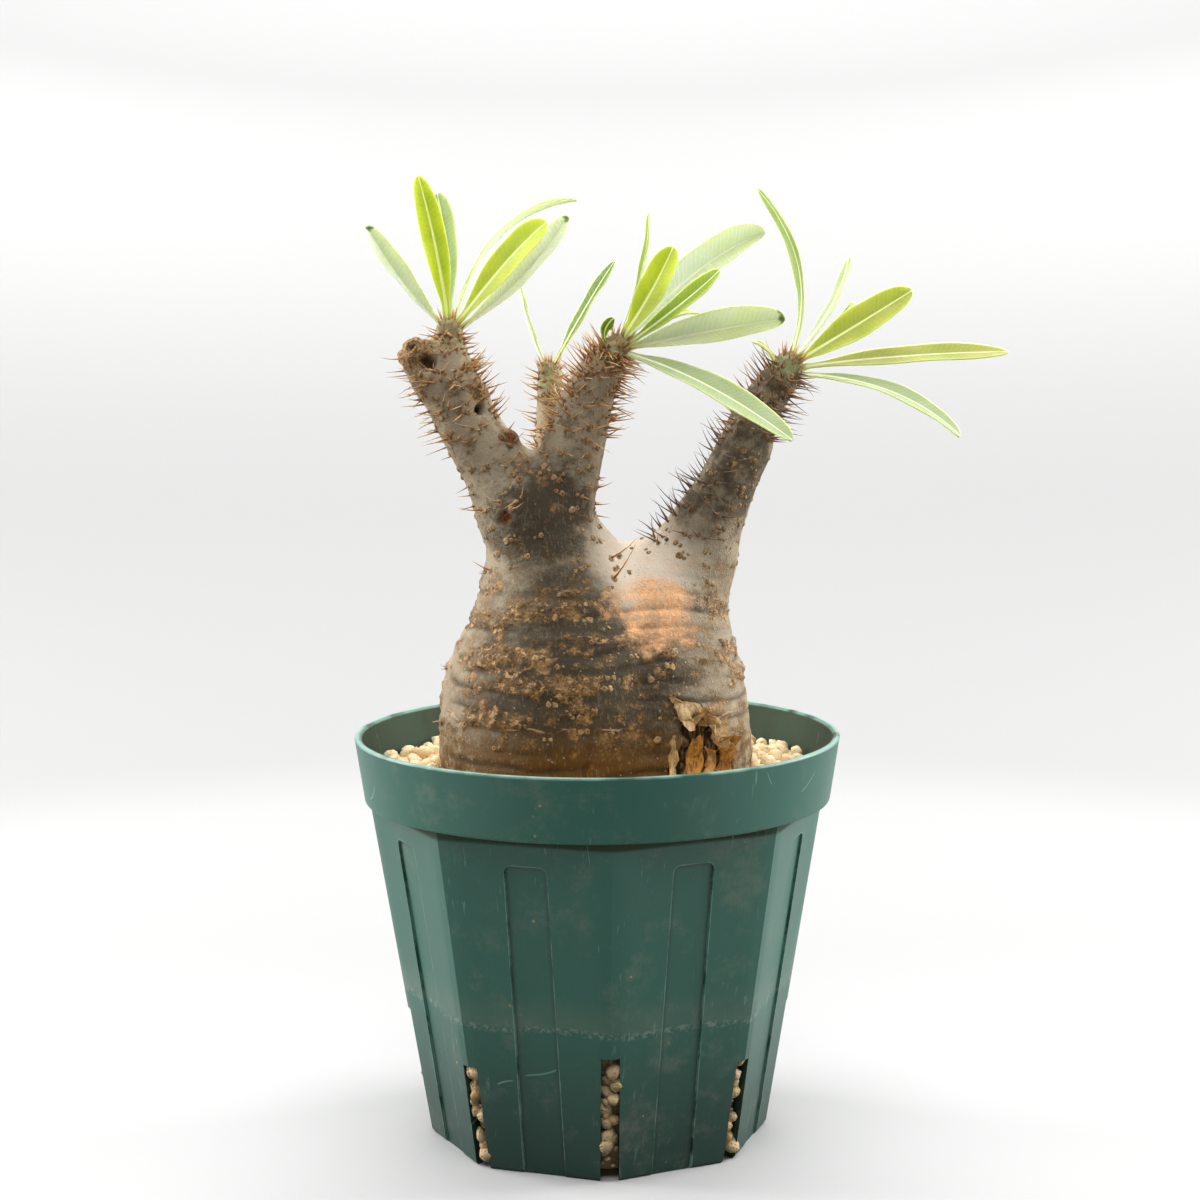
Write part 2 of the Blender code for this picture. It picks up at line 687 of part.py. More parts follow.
def blade_ring(centre, direction, face, half_width):
    """Six corners of the folded blade's section: three above, then three below the other way."""
    up = (face - direction * face.dot(direction)).normalized()
    aside = direction.cross(up)
    out = aside * half_width * math.cos(BLADE_FOLD)
    rise = up * half_width * math.sin(BLADE_FOLD)
    skin = up * BLADE_THICKNESS / 2
    left = centre - out + rise
    right = centre + out + rise
    return [left + skin, centre + skin, right + skin, right - skin, centre - skin, left - skin]


def make_leaf(name, curve, width, face, material):
    """A thin folded blade, split into triangles alike on both faces."""
    foot, bend, tip = curve
    rings = []
    for share in BLADE_SHARES:
        centre = curve_point(foot, bend, tip, share)
        direction = curve_direction(foot, bend, tip, share)
        rings.append(blade_ring(centre, direction, Vector(face), blade_half_width(share, width)))
    size = len(rings[0])
    points = [point for ring in rings for point in ring]
    faces = []
    for row in range(len(rings) - 1):
        here = row * size
        beyond = here + size
        for rib, edge in ((1, 0), (1, 2), (4, 5), (4, 3)):
            faces.append((here + rib, here + edge, beyond + edge))
            faces.append((here + rib, beyond + edge, beyond + rib))
        for upper, lower in ((0, 5), (2, 3)):
            faces.append((here + upper, here + lower, beyond + lower))
            faces.append((here + upper, beyond + lower, beyond + upper))
    for first in (0, len(points) - size):
        faces.append((first, first + 1, first + 4, first + 5))
        faces.append((first + 1, first + 2, first + 3, first + 4))
    leaf = mesh_object(name, points, faces, material)
    face_outward(leaf)
    shade(leaf, BLADE_SHARP_ANGLE)
    return leaf


def face_outward(made):
    shape = bmesh.new()
    shape.from_mesh(made.data)
    bmesh.ops.recalc_face_normals(shape, faces=shape.faces)
    shape.to_mesh(made.data)
    shape.free()


def blade_samples(curve, width):
    """Places along the blade with its half width there, for keeping spines clear of it."""
    shares = np.linspace(0.0, 1.0, BLADE_SAMPLES)
    return [(curve_point(*curve, share), blade_half_width(share, width)) for share in shares]


def make_leaves(tree, material):
    samples = []
    for name, limb, below_end, middle, tip, width, face in LEAVES:
        curve = leaf_curve(tree, limb, below_end, middle, tip, face)
        make_leaf(name, curve, width * MM, face, material)
        samples.append(blade_samples(curve, width * MM))
    return samples


# Grit


def grain_centres(inner, outer, rng):
    """Scattered centres in a flat ring, none closer to another than GRAIN_SPACING."""
    centres = []
    for _ in range(GRAIN_TRIES):
        radius = math.sqrt(rng.uniform(inner**2, outer**2))
        angle = rng.uniform(0, 2 * math.pi)
        here = np.array([radius * math.cos(angle), radius * math.sin(angle)])
        if all(np.hypot(*(here - other)) > GRAIN_SPACING for other in centres):
            centres.append(here)
    return np.array(centres)


def grain_height(x, y, centres):
    """Height of the pebbled surface over the grit's level: a dome on every grain."""
    distance = np.hypot(centres[:, 0] - x, centres[:, 1] - y).min()
    return GRAIN_RELIEF * math.sqrt(max(0.0, 1 - (distance / GRAIN_RADIUS) ** 2))


def hole_radius(chains, angle):
    """Where a plain upright hole clears the buried stem in this direction."""
    radii = np.arange(HOLE_SEARCH_START, HOLE_SEARCH_END, HOLE_SEARCH_STEP)
    heights = np.linspace(STEM_FOOT, GRIT_LEVEL + GRAIN_RELIEF, HOLE_SEARCH_HEIGHTS)
    r, z = np.meshgrid(radii, heights)
    points = np.stack([r * math.cos(angle), r * math.sin(angle), z], axis=-1).reshape(-1, 3)
    inside = plant_distance(points, chains) < HOLE_GAP
    return r.reshape(-1)[inside].max()


def slit_grains(rng):
    """Grains of the filling that show in the slits."""
    grains = []
    for i in range(BODY_SIDES):
        angle = -math.pi / 2 + BODY_TURN + i * side_angle()
        top = SLIT_LONG_TOP if i % 2 == 0 else SLIT_SHORT_TOP
        count = int((top - FLOOR_THICKNESS) / SLIT_GRAIN_STEP)
        for k in range(count):
            height = FLOOR_THICKNESS + SLIT_GRAIN_STEP * (k + SLIT_FIRST_GRAIN)
            out = corner_radius_at(height) - BODY_WALL + SLIT_GRAIN_OUT
            shape = bmesh.new()
            bmesh.ops.create_icosphere(shape, subdivisions=1, radius=SLIT_GRAIN_RADIUS)
            mesh = bpy.data.meshes.new("grain")
            shape.to_mesh(mesh)
            shape.free()
            place = Matrix.Translation((out * math.cos(angle), out * math.sin(angle), height))
            mesh.transform(place @ Matrix.Rotation(rng.uniform(0, math.pi), 4, "X"))
            grain = bpy.data.objects.new("grain", mesh)
            bpy.context.scene.collection.objects.link(grain)
            grains.append(grain)
    return grains


def make_grit(chains, material):
    per_side = GRIT_COLUMNS_PER_SIDE
    band_foot = POT_HEIGHT - BAND_HEIGHT
    wall_foot = BODY_FOOT_CORNER_RADIUS - BODY_WALL - GRIT_WALL_GAP
    wall_top = corner_radius_at(band_foot) - BODY_WALL - GRIT_WALL_GAP
    ledge_radius = BAND_FOOT_RADIUS - RIM_WALL - BAND_INNER_STEP
    ledge_height = band_foot + INNER_LEDGE_RISE
    band_slope = (RIM_RADIUS - RIM_WALL - ledge_radius) / (POT_HEIGHT - ledge_height)
    top_radius = ledge_radius + band_slope * (GRIT_LEVEL - ledge_height) - GRIT_WALL_GAP
    angles = column_angles(per_side)
    rng = random.Random(GRIT_SEED)
    holes = [hole_radius(chains, angle) for angle in angles]
    centres = grain_centres(min(holes), top_radius, rng)
    rings = [
        octagon_ring(wall_foot, FLOOR_THICKNESS + SEAT_GAP, per_side),
        octagon_ring(wall_top, band_foot - INNER_LEDGE_DROP, per_side),
        round_ring(ledge_radius - GRIT_LEDGE_GAP, ledge_height, per_side),
    ]
    for k in range(GRIT_RINGS + 1):
        ring = []
        for angle, hole in zip(angles, holes):
            radius = top_radius + (hole - top_radius) * k / GRIT_RINGS
            x = radius * math.cos(angle)
            y = radius * math.sin(angle)
            ring.append(Vector((x, y, GRIT_LEVEL + grain_height(x, y, centres))))
        rings.append(ring)
    rings.append([Vector((p.x, p.y, STEM_FOOT - SEAT_GAP)) for p in rings[-1]])
    points, faces = skin_rings(rings)
    grit = mesh_object("grit", points, faces, material)
    join_all(grit, slit_grains(rng))
    shade(grit, GRIT_SHARP_ANGLE)
    return grit


def main():
    clear_scene()
    green_plastic = finish_material("green_plastic", (0.03, 0.10, 0.075), 0.5)
    pumice = finish_material("pumice", (0.66, 0.52, 0.33), 0.9)
    bark = finish_material("bark", (0.30, 0.25, 0.19), 0.8)
    leaf_green = finish_material("leaf_green", (0.30, 0.42, 0.09), 0.45)
    chains = [smooth_chain(stations) for stations in LIMBS]
    make_pot(green_plastic)
    make_grit(chains, pumice)
    caudex = make_bare_stem(chains, bark)
    tree = tree_of(caudex)
    leaves = make_leaves(tree, leaf_green)
    grow_spines(caudex, tree, leaves)


main()
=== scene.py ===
"""A potted pachypodium dressed for a studio picture, laid out as an add-on and run as a script.

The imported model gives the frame, in metres with +Z up. Every solid of it is replaced by a finer
piece of the same form: the slit pot, the loose pumice, the spiny stem and each of the leaves.
"""

import math
import random

import bmesh
import bpy
import numpy as np
from bpy.props import FloatProperty, FloatVectorProperty, IntProperty, PointerProperty
from mathutils import Matrix, Vector, noise
from mathutils.bvhtree import BVHTree


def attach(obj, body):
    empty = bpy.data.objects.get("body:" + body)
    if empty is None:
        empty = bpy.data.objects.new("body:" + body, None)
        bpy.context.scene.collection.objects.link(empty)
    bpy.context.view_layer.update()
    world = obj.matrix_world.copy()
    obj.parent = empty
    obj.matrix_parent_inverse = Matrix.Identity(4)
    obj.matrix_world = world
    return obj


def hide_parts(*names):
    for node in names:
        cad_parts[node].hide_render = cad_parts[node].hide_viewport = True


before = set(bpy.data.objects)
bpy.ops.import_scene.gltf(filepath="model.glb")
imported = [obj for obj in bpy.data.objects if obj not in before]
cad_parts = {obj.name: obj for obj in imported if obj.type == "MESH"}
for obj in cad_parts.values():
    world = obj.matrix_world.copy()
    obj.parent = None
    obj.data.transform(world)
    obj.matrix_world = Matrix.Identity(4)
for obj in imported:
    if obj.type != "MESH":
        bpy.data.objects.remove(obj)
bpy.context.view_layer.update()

bl_info = {
    "name": "Potted Pachypodium",
    "version": (1, 0, 0),
    "blender": (4, 5, 0),
    "location": "3D View > Sidebar > Plant",
    "description": "Builds a spiny potted pachypodium in pumice, with its studio",
    "category": "Object",
}

MM = 0.001
UP = Vector((0, 0, 1))
ROOT = "root"

# Pot
BODY_SIDES = 8
BODY_TURN = math.radians(3.3)
BODY_TOP_CORNER_RADIUS = 49.8 * MM
BODY_FOOT_CORNER_RADIUS = 37.6 * MM
BAND_HEIGHT = 13.9 * MM
BAND_FOOT_RADIUS = 50.5 * MM
BAND_INNER_STEP = 0.4 * MM
INNER_LEDGE_RISE = 2.6 * MM
INNER_LEDGE_DROP = 1.0 * MM
CORNER_SOFTENING = 0.3 * MM
FLOOR_THICKNESS = 1.8 * MM
FOOT_ROUNDING = 0.8 * MM
EDGE_ROUNDING = 0.4 * MM
EDGE_STAY = 0.5 * MM
SLIT_EDGE_ROUNDING = 0.12 * MM
PANEL_WIDTH = 9.2 * MM
PANEL_DEPTH = 0.55 * MM
PANEL_TOP = 67.5 * MM
PANEL_CORNER = 1.5 * MM
PANEL_CUTTER_THICKNESS = 9.0 * MM
SLIT_WIDTH = 3.9 * MM
SLIT_LONG_TOP = 27.6 * MM
SLIT_SHORT_TOP = 22.8 * MM
SLIT_INNER_RADIUS = 29.0 * MM
CUTTER_REACH = 60.0 * MM
CUTTER_BELOW = 2.0 * MM
POT_COLUMNS_PER_SIDE = 16
SOFT_EDGE_ANGLE = math.radians(35)
POT_SHARP_ANGLE = math.radians(20)
DEPOSIT_HEIGHT = 32.5
PANEL_EDGE_TOP = 68.1

# Pumice
BED_WALL_GAP = 0.4 * MM
BED_LEDGE_GAP = 0.6 * MM
BED_FLOOR_GAP = 0.3 * MM
BED_LEAN = 0.4 * MM
BED_TOP_RADII = (42 * MM, 34 * MM, 20 * MM)
GRAINS_FROM = 22 * MM
GRAINS_TO_RIM = 2.6 * MM
GRAIN_SPACING = 1.55
GRAIN_TRIES = 5200
GRAIN_SQUASH = ((0.8, 1.25), (0.75, 1.1), (0.6, 0.95))
GRAIN_SHIFT = 50
# How far a grain swells, and how close its lumps are, for its large lumps and its small ones
GRAIN_LUMPS = ((0.30, 1.1), (0.12, 2.9))
# In grain sizes
GRAIN_RISE_DRAW = (-0.1, 0.35)
GRAIN_SIZE_DRAW = (0.7, 1.12)
GRAIN_TO_STEM = 0.35
BED_WAVE = 0.4 * MM
BED_WAVES_PER_MM = 0.4
FIRST_GRAIN_RISE = 1.2 * MM
# In millimetres, for the grains behind a slit
SLIT_GRAIN_RADII = (0.5, 0.8, 1.5, 1.9)
GRAIN_DEPTHS = (0.2, 1.5)
GRAIN_SIDEWAYS = (-1.5, 1.5)
GRAIN_STEPS = (0.4, 1.3)

# Limbs of the plant: a chain of round stations, each x, y, z and radius in millimetres
COLUMN = [
    (-6.6, -1.0, 58.0, 26.0),
    (-6.7, -1.0, 75.5, 26.9),
    (-6.8, -1.0, 86.6, 27.4),
    (-6.8, -1.0, 95.4, 26.3),
    (-6.5, -1.0, 104.1, 22.6),
    (-7.3, -1.0, 112.8, 19.0),
    (-8.8, -1.5, 121.6, 15.4),
    (-11.0, -2.0, 129.2, 12.3),
    (-13.3, -2.0, 136.0, 11.3),
]
SHOULDER = [
    (7.9, 1.0, 58.0, 23.4),
    (9.2, 1.0, 75.0, 24.2),
    (9.7, 1.0, 86.1, 23.8),
    (9.9, 1.0, 94.9, 22.5),
    (10.8, 2.0, 103.6, 19.5),
    (12.8, 2.5, 112.3, 15.6),
    (16.6, 3.0, 118.8, 12.2),
    (20.6, 3.0, 125.4, 9.8),
    (23.6, 2.5, 132.3, 8.0),
    (26.8, 2.0, 138.8, 6.5),
    (29.7, 1.5, 144.8, 6.0),
    (32.2, 1.0, 150.3, 5.7),
    (33.6, 0.5, 155.0, 5.2),
    (36.0, 0.0, 159.5, 4.5),
    (39.1, -0.5, 164.0, 4.0),
    (41.2, -1.0, 167.4, 3.1),
]
SADDLE = [
    (-2.0, 3.0, 116.0, 11.0),
    (7.0, 3.5, 119.8, 9.2),
    (14.0, 3.0, 119.8, 10.0),
]
LEFT_BRANCH = [
    (-13.3, -2.0, 136.0, 11.3),
    (-17.4, -2.0, 140.8, 8.9),
    (-21.6, -2.0, 146.2, 7.2),
    (-25.8, -2.0, 152.8, 6.6),
    (-29.4, -2.0, 160.0, 6.3),
    (-32.0, -2.0, 165.6, 5.7),
    (-32.4, -2.0, 167.4, 5.0),
]
LEFT_SHOOT = [
    (-31.2, -2.0, 167.0, 4.0),
    (-31.0, -2.0, 171.5, 3.2),
    (-31.0, -2.0, 175.0, 2.8),
]
CUT_STUB = [
    (-33.8, -2.4, 164.4, 4.8),
    (-36.2, -3.2, 167.8, 4.0),
    (-37.7, -3.8, 169.9, 3.6),
]
CENTRE_BRANCH = [
    (-11.8, -3.0, 135.8, 9.8),
    (-8.4, -4.0, 141.4, 8.3),
    (-5.8, -5.0, 147.3, 6.9),
    (-4.0, -6.0, 153.7, 6.3),
    (-1.6, -7.0, 160.5, 5.5),
    (0.8, -8.0, 165.8, 4.6),
    (3.1, -8.5, 169.4, 3.6),
    (4.6, -9.0, 171.6, 2.9),
]
BACK_BRANCH = [
    (-11.0, 2.0, 137.5, 7.6),
    (-10.2, 7.0, 144.6, 4.2),
    (-10.0, 10.0, 150.9, 3.2),
    (-10.0, 12.0, 158.5, 2.8),
    (-10.0, 13.0, 165.6, 2.3),
]
DEAD_BUD = [
    (-18.6, -4.6, 148.8, 2.2),
    (-18.2, -5.2, 152.2, 1.6),
]
SIDE_KNOB = [
    (-25.6, -3.6, 161.0, 1.9),
    (-24.6, -4.2, 162.6, 1.5),
]
LIMBS = [
    COLUMN,
    SHOULDER,
    SADDLE,
    LEFT_BRANCH,
    LEFT_SHOOT,
    CUT_STUB,
    CENTRE_BRANCH,
    BACK_BRANCH,
    DEAD_BUD,
    SIDE_KNOB,
]
STATION_STEPS = 6
FORK_BLEND = 1.1 * MM
STEM_FOOT = 65.5 * MM
SETTLE_ROUNDS = 3
SMALLEST_SUM = 1e-300

# Marks on the bark in millimetres: centre and reach
STUB_CAVITY = ((-35.3, -7.2, 168.4), 1.7)
STUB_HOLE = ((-39.0, -7.0, 172.4), 1.1)
STUB_RIM = ((-38.4, -5.0, 171.2), 5.0)
BUD_HOLE = ((-24.0, -7.6, 158.8), 1.2)
BUD_LENS = ((-23.9, -7.4, 162.4), 2.6)
OVAL_SCAR = ((-19.2, -12.8, 136.2), 1.5)
RED_BUD = ((-18.4, -6.0, 152.4), 2.1)
BLUSH_PATCH = ((12.6, -16.0, 117.6), 8.6)
SMOOTH_SADDLE = ((9.5, -5.0, 126.0), 10.5)
BARE_MARKS = [STUB_RIM, STUB_CAVITY, BUD_HOLE, OVAL_SCAR, BLUSH_PATCH]
# Places on the front of the stem that painted shade darkens: the mark, and how dark it gets
PAINTED_SHADE_PLACES = [
    (((-2.5, -27.0, 103.0), 24.0), 1.0),
    (((-6.5, -19.0, 121.0), 11.0), 0.66),
    (((-10.5, -13.0, 136.0), 12.0), 0.85),
]
# How softly a mark fades out, as a share of its reach
HARD = 0.12
CRISP = 0.2
CLEAR = 0.3
FIRM = 0.35
BLURRED = 0.45
SOFT = 0.6
VERY_SOFT = 0.8

# The wedge without bark, in millimetres
PEEL_TOP = 95.8
PEEL_FOOT = 81.0
PEEL_CENTRE = 21.4
PEEL_HALF_WIDTH = (2.2, 7.4)
PEEL_RAGGED = 1.6
PEEL_EDGE = (-0.8, 0.5)

# Relief of the bark in millimetres, and the heights between which it comes and goes
RIDGES_UPPER_END = (114.0, 127.0)
RIDGES_LOWER_END = (76.0, 84.0)
CRUST_LOWER_END = (86.0, 94.0)
GREEN_END = (2.5, 6.5)
CREASE_SPACING = 3.6
CREASE_BENDS = (3.4, 0.5)
CREASE_SHARPNESS = 9
CREASE_DEPTH = 0.42
LUMP_RISE = 0.35
RIDGE_RISE = 0.36
GRAIN_RISE = 0.07
YOUNG_GRAIN_RISE = 0.35
CRUST_RISE = 0.20
CRUST_GRAIN_RISE = 0.9
WOOD_GRAIN_RISE = 0.8
PEEL_DEPTH = 2.0
CAVITY_DEPTH = 1.9
RAW_GRAIN_RISE = 0.5
SCAR_DEPTH = 0.7
# How far the smooth saddle levels the grain, and how fast crust gives way to the orange patch
SMOOTHING = 0.7
BLUSH_CLEARING = 1.6

# Loose bark in millimetres: the free end's two corners and the fixed end's two, each as x and z,
# how far the free end curls out, and how amber it is
FLAKES = [
    ([(17.1, 93.0), (20.3, 93.6), (21.6, 96.6), (15.3, 99.5)], 2.4, 0.0),
    ([(23.1, 91.2), (27.6, 88.4), (26.7, 92.3), (21.0, 97.1)], 1.8, 0.25),
    ([(21.2, 89.5), (18.8, 90.5), (18.0, 80.5), (21.8, 80.5)], 1.5, 1.0),
    ([(28.0, 90.3), (25.7, 89.6), (24.8, 80.5), (28.5, 80.5)], 1.7, 0.85),
    ([(23.9, 87.5), (22.2, 88.1), (22.0, 80.5), (24.4, 80.5)], 1.0, 0.7),
    ([(16.3, 91.2), (15.2, 91.3), (14.4, 80.5), (15.8, 80.5)], 0.5, 0.1),
]
FLAKE_STEPS = 8
FLAKE_THICKNESS = 0.28 * MM
FLAKE_LIFT = 0.5 * MM
FLAKE_CRUMPLE = 0.8 * MM
FLAKE_CRUMPLES_PER_MM = 0.55
FLAKE_RAGGED = 1.1 * MM
FLAKE_TEARS_PER_MM = 1.3
FLAKE_RAY_START = -60
FLAKE_SHARP_ANGLE = math.radians(50)

# Spines: limb, first and last share of its length, pairs, length in millimetres, the share of
# pairs whose spines are still there, how grey they are, and how much they keep to the left
SPINE_ROWS = [
    (LEFT_BRANCH, 0.06, 0.50, 44, 3.2, 0.30, 0.15, 0.0),
    (LEFT_BRANCH, 0.50, 0.99, 96, 5.0, 0.95, 0.10, 0.0),
    (LEFT_SHOOT, 0.10, 1.0, 34, 4.2, 1.0, 0.0, 0.0),
    (CENTRE_BRANCH, 0.10, 0.42, 34, 3.4, 0.45, 0.15, 0.0),
    (CENTRE_BRANCH, 0.42, 1.0, 140, 5.4, 0.95, 0.05, 0.0),
    (BACK_BRANCH, 0.22, 1.0, 60, 4.4, 0.95, 0.05, 0.0),
    (COLUMN, 0.26, 0.99, 150, 1.6, 0.05, 0.4, 0.0),
    (SHOULDER, 0.24, 0.50, 60, 2.0, 0.05, 0.8, 0.0),
    (SHOULDER, 0.47, 0.74, 120, 6.2, 0.95, 0.85, 1.0),
    (SHOULDER, 0.76, 1.0, 92, 5.4, 0.95, 0.55, 0.0),
]
# Single spines in millimetres: root and tip
SINGLE_SPINES = [
    ((3.5, -10.0, 127.5), (9.8, -14.0, 130.4)),
    ((5.1, -14.0, 124.3), (9.0, -20.0, 129.4)),
    ((-25.1, -8.0, 137.4), (-30.2, -10.0, 136.3)),
    ((-20.5, -12.0, 139.4), (-23.8, -18.0, 139.8)),
    ((-23.5, -8.0, 124.6), (-27.2, -9.0, 125.8)),
    ((-40.4, -6.0, 169.5), (-46.2, -7.0, 167.9)),
    ((-17.7, -13.0, 138.0), (-14.6, -16.0, 138.6)),
    ((1.4, -6.0, 141.6), (4.4, -7.0, 142.1)),
]
SPINE_ROOT_RADIUS = 0.30 * MM
SPINE_RINGS = 5
SPINE_SIDES = 5
SPINE_SINK = 0.5 * MM
SPINE_CURL = 0.30
# Shares of a spine's root radius: its even taper, the swelling at its root and its blunt point
SPINE_TAPER = 0.6
SPINE_SWELLING = 0.4
SPINE_POINT = 0.08
# Places along a spine that have to clear the blades, and by how many half widths of a blade
SPINE_PROBES = (0.2, 0.6, 1.0)
SPINE_TO_BLADE = 0.7
LOWEST_SPINE = 80 * MM
FARTHEST_SPINE = 32 * MM
SINGLE_SPINE_GREY = 0.05
PAIR_HALF_GAP = 0.75 * MM
# Where spines keep to the left of a limb: the fewest on its right, and how they thin out to there
FEWEST_ON_RIGHT = 0.04
LEFT_OVER_RIGHT = 0.25
# How far spines stand square to the skin, and how far the two cushions of a pair lean apart
SPINE_SQUARENESS = 0.5
CUSHION_LEAN = 0.3
GOLDEN_ANGLE = math.radians(137.508)
# Random draws for a pair of spines, each from the first value to the second
PLACE_DRAW = (-1.0, 2.0)
TURN_DRAW = (-0.6, 0.6)
GREY_DRAW = (-0.2, 0.2)
SPREAD_DRAW = (0.25, 0.6)
LIFT_DRAW = (-0.25, 0.75)
LENGTH_DRAW = (0.55, 1.2)
BEND_ASIDE_DRAW = (0.2, 1.0)
BEND_ALONG_DRAW = (-0.3, 1.0)
CURL_DRAW = (0.1, 0.5)
# Bristles round the top of each shoot, with the draws for one
CROWNS = [LEFT_SHOOT, CENTRE_BRANCH, BACK_BRANCH, SHOULDER]
CROWN_BRISTLES = 44
BRISTLE_LENGTHS = (1.2 * MM, 3.0 * MM)
BRISTLE_LEAN_DRAW = (0.25, 1.45)
BRISTLE_LIFT_DRAW = (0.2, 0.9)
BRISTLE_GREY_DRAW = (0.0, 0.3)
# Cushions: radius and height of each ring, in cushion sizes
CUSHION_PROFILE = [(1.45, -0.45), (1.05, 0.04), (0.76, 0.26), (0.44, 0.26), (0.18, 0.10)]
CUSHION_SIDES = 8
CUSHION_SIZES = (0.32, 0.78)
CUSHION_UNDER_SPINE = 0.75
CUSHION_WOBBLE = (0.62, 1.26)

# Leaves in millimetres, under the start of their nodes' names and the limb they grow from: how far
# below the limb's end the stalk is aimed, the middle and the tip of the midrib, the full width, the
# way the upper side faces, and the finish
LEAVES = {
    "leaf_left": (
        LEFT_SHOOT,
        [
            (0.6, (-41.4, -6.0, 187.1), (-47.1, -11.0, 197.0), 7.0, (0.55, 0.62, 0.55), "pale"),
            (0.0, (-33.7, -3.5, 193.1), (-37.1, -4.0, 207.5), 5.6, (0.3, -0.9, 0.1), "bright"),
            (0.4, (-31.8, 3.5, 192.5), (-33.6, 7.0, 204.2), 6.2, (-0.3, -0.8, 0.3), "pale"),
            (2.4, (-20.4, 7.0, 195.0), (-3.8, 13.0, 202.7), 6.0, (-0.5, 0.1, 0.85), "green"),
            (1.0, (-18.3, -6.5, 189.5), (-9.8, -9.0, 197.5), 8.2, (-0.35, -0.75, 0.55), "bright"),
            (1.4, (-15.3, -0.5, 186.7), (-5.7, -2.0, 199.0), 7.2, (-0.3, 0.55, 0.75), "pale"),
        ],
    ),
    "leaf_back": (
        BACK_BRANCH,
        [
            (0.6, (-14.4, 12.0, 176.5), (-16.4, 9.0, 185.4), 3.0, (0.93, -0.1, 0.35), "pale"),
            (0.6, (-1.8, 13.0, 179.5), (4.5, 11.0, 189.4), 4.8, (-0.75, -0.45, 0.5), "deep"),
        ],
    ),
    "leaf_centre": (
        CENTRE_BRANCH,
        [
            (-0.4, (10.3, -5.5, 188.1), (11.6, -2.5, 199.6), 4.0, (-1, -0.2, 0.15), "green"),
            (0.9, (12.0, -12.6, 183.5), (16.4, -14.0, 192.4), 6.8, (-0.3, -0.8, 0.4), "bright"),
            (2.9, (18.2, -13.5, 180.6), (25.9, -17.0, 187.4), 5.8, (-0.3, -0.6, 0.7), "green"),
            (2.2, (22.2, -3.4, 188.0), (36.2, 2.0, 195.3), 9.4, (-0.25, 0.75, 0.6), "pale"),
            (1.0, (24.4, -11.0, 175.2), (39.5, -13.0, 177.6), 9.0, (0, 0.75, 0.65), "pale"),
            (0.9, (23.1, -21.0, 163.8), (39.5, -33.0, 153.4), 8.2, (0.3, -0.6, 0.8), "pale"),
            (1.4, (1.8, -11.0, 175.1), (3.9, -12.0, 177.8), 2.8, (0.6, -0.6, 0.5), "dark"),
            (3.0, (16.2, -5.4, 177.6), (22.0, -2.5, 178.3), 2.2, (0, -0.3, 0.95), "bright"),
        ],
    ),
    "leaf_right": (
        SHOULDER,
        [
            (0.2, (43.6, 0.5, 187.9), (35.0, 4.0, 204.8), 4.4, (-0.9, -0.35, -0.1), "pale"),
            (0.4, (51.2, 6.5, 179.9), (55.3, 12.0, 190.2), 3.6, (-0.7, -0.35, 0.5), "pale"),
            (2.0, (50.2, 4.2, 173.4), (55.6, 4.6, 180.6), 3.6, (-0.5, -0.3, 0.8), "green"),
            (0.8, (55.2, -5.0, 175.7), (66.5, -9.0, 183.0), 8.2, (-0.4, -0.8, 0.5), "olive"),
            (1.2, (65.9, -1.5, 169.0), (87.6, -2.5, 169.8), 6.4, (0, -0.55, 0.83), "olive"),
            (2.4, (62.0, -8.0, 161.9), (76.3, -12.0, 152.6), 6.6, (0.4, -0.45, 0.8), "pale"),
            (3.2, (36.2, -2.0, 170.9), (33.4, -2.5, 172.4), 2.0, (0.3, -0.4, 0.8), "olive"),
        ],
    ),
}
YOUNG_LEAVES = {
    "leaf_left_2",
    "leaf_left_5",
    "leaf_centre_2",
    "leaf_centre_7",
    "leaf_centre_8",
    "leaf_right_7",
}
DRY_TIPS = {"leaf_left_1", "leaf_left_6", "leaf_centre_5"}
BLADE_FOLD = math.radians(14)
BLADE_WIDEST = 0.55
BLADE_TIP_POWER = 2.6
STALK_HALF_WIDTH = 1.0 * MM
STALK_TAPER = 0.8
STALK_RAY_START = 12.0 * MM
STALK_SINK = 0.5 * MM
BLADE_STATIONS = 44
CLOSER_TO_TIP = 1.35
BLADE_COLUMNS = (0.45, 0.75, 1.0)
WIDEST_RIB = 0.4
RIB_TO_COLUMN = 0.05
RIB_HALF_WIDTH = 0.42 * MM
RIB_RISE = 0.30 * MM
MARGIN_SHARE = 0.5
WAVES = 2.2
WAVE_LAG = 1.7
WAVE_SHIFT = 2.4
FOLD_ROUNDING = 1.25
VEIN_SLANT = 0.55
LEAF_SHARP_ANGLE = math.radians(60)
SAMPLES_PER_BLADE = 24

# Where finishes change, in millimetres: where each change starts and where it is complete
WALL_TAPER = 0.144
INNER_WALL = (38.85, 39.25)
ABOVE_GRAINS = (72.0, 73.0)
BELOW_BAND = (71.0, 70.0)
FOOT_SHADE = (42.0, 2.0)
BURIED = (36.0, 28.0)
BELLY = (130.0, 118.0)
LOW_BARK = (97.0, 84.0)
UPPER_BARK = (122.0, 140.0)
RIGHT_LIMB_HEIGHT = (128.0, 138.0)
RIGHT_LIMB_SIDE = (14.0, 20.0)
PEEL_SHADE = (21.5, 17.5)
CRACK_HEIGHT = 93.5
VEIN_SPACING = 1.15
FRONT_OF_FLOOR = (170.0, -120.0)
FOOT_OF_CURVE = (0.5, 9.0)
FOOT_OF_WALL = (60.0, 420.0)

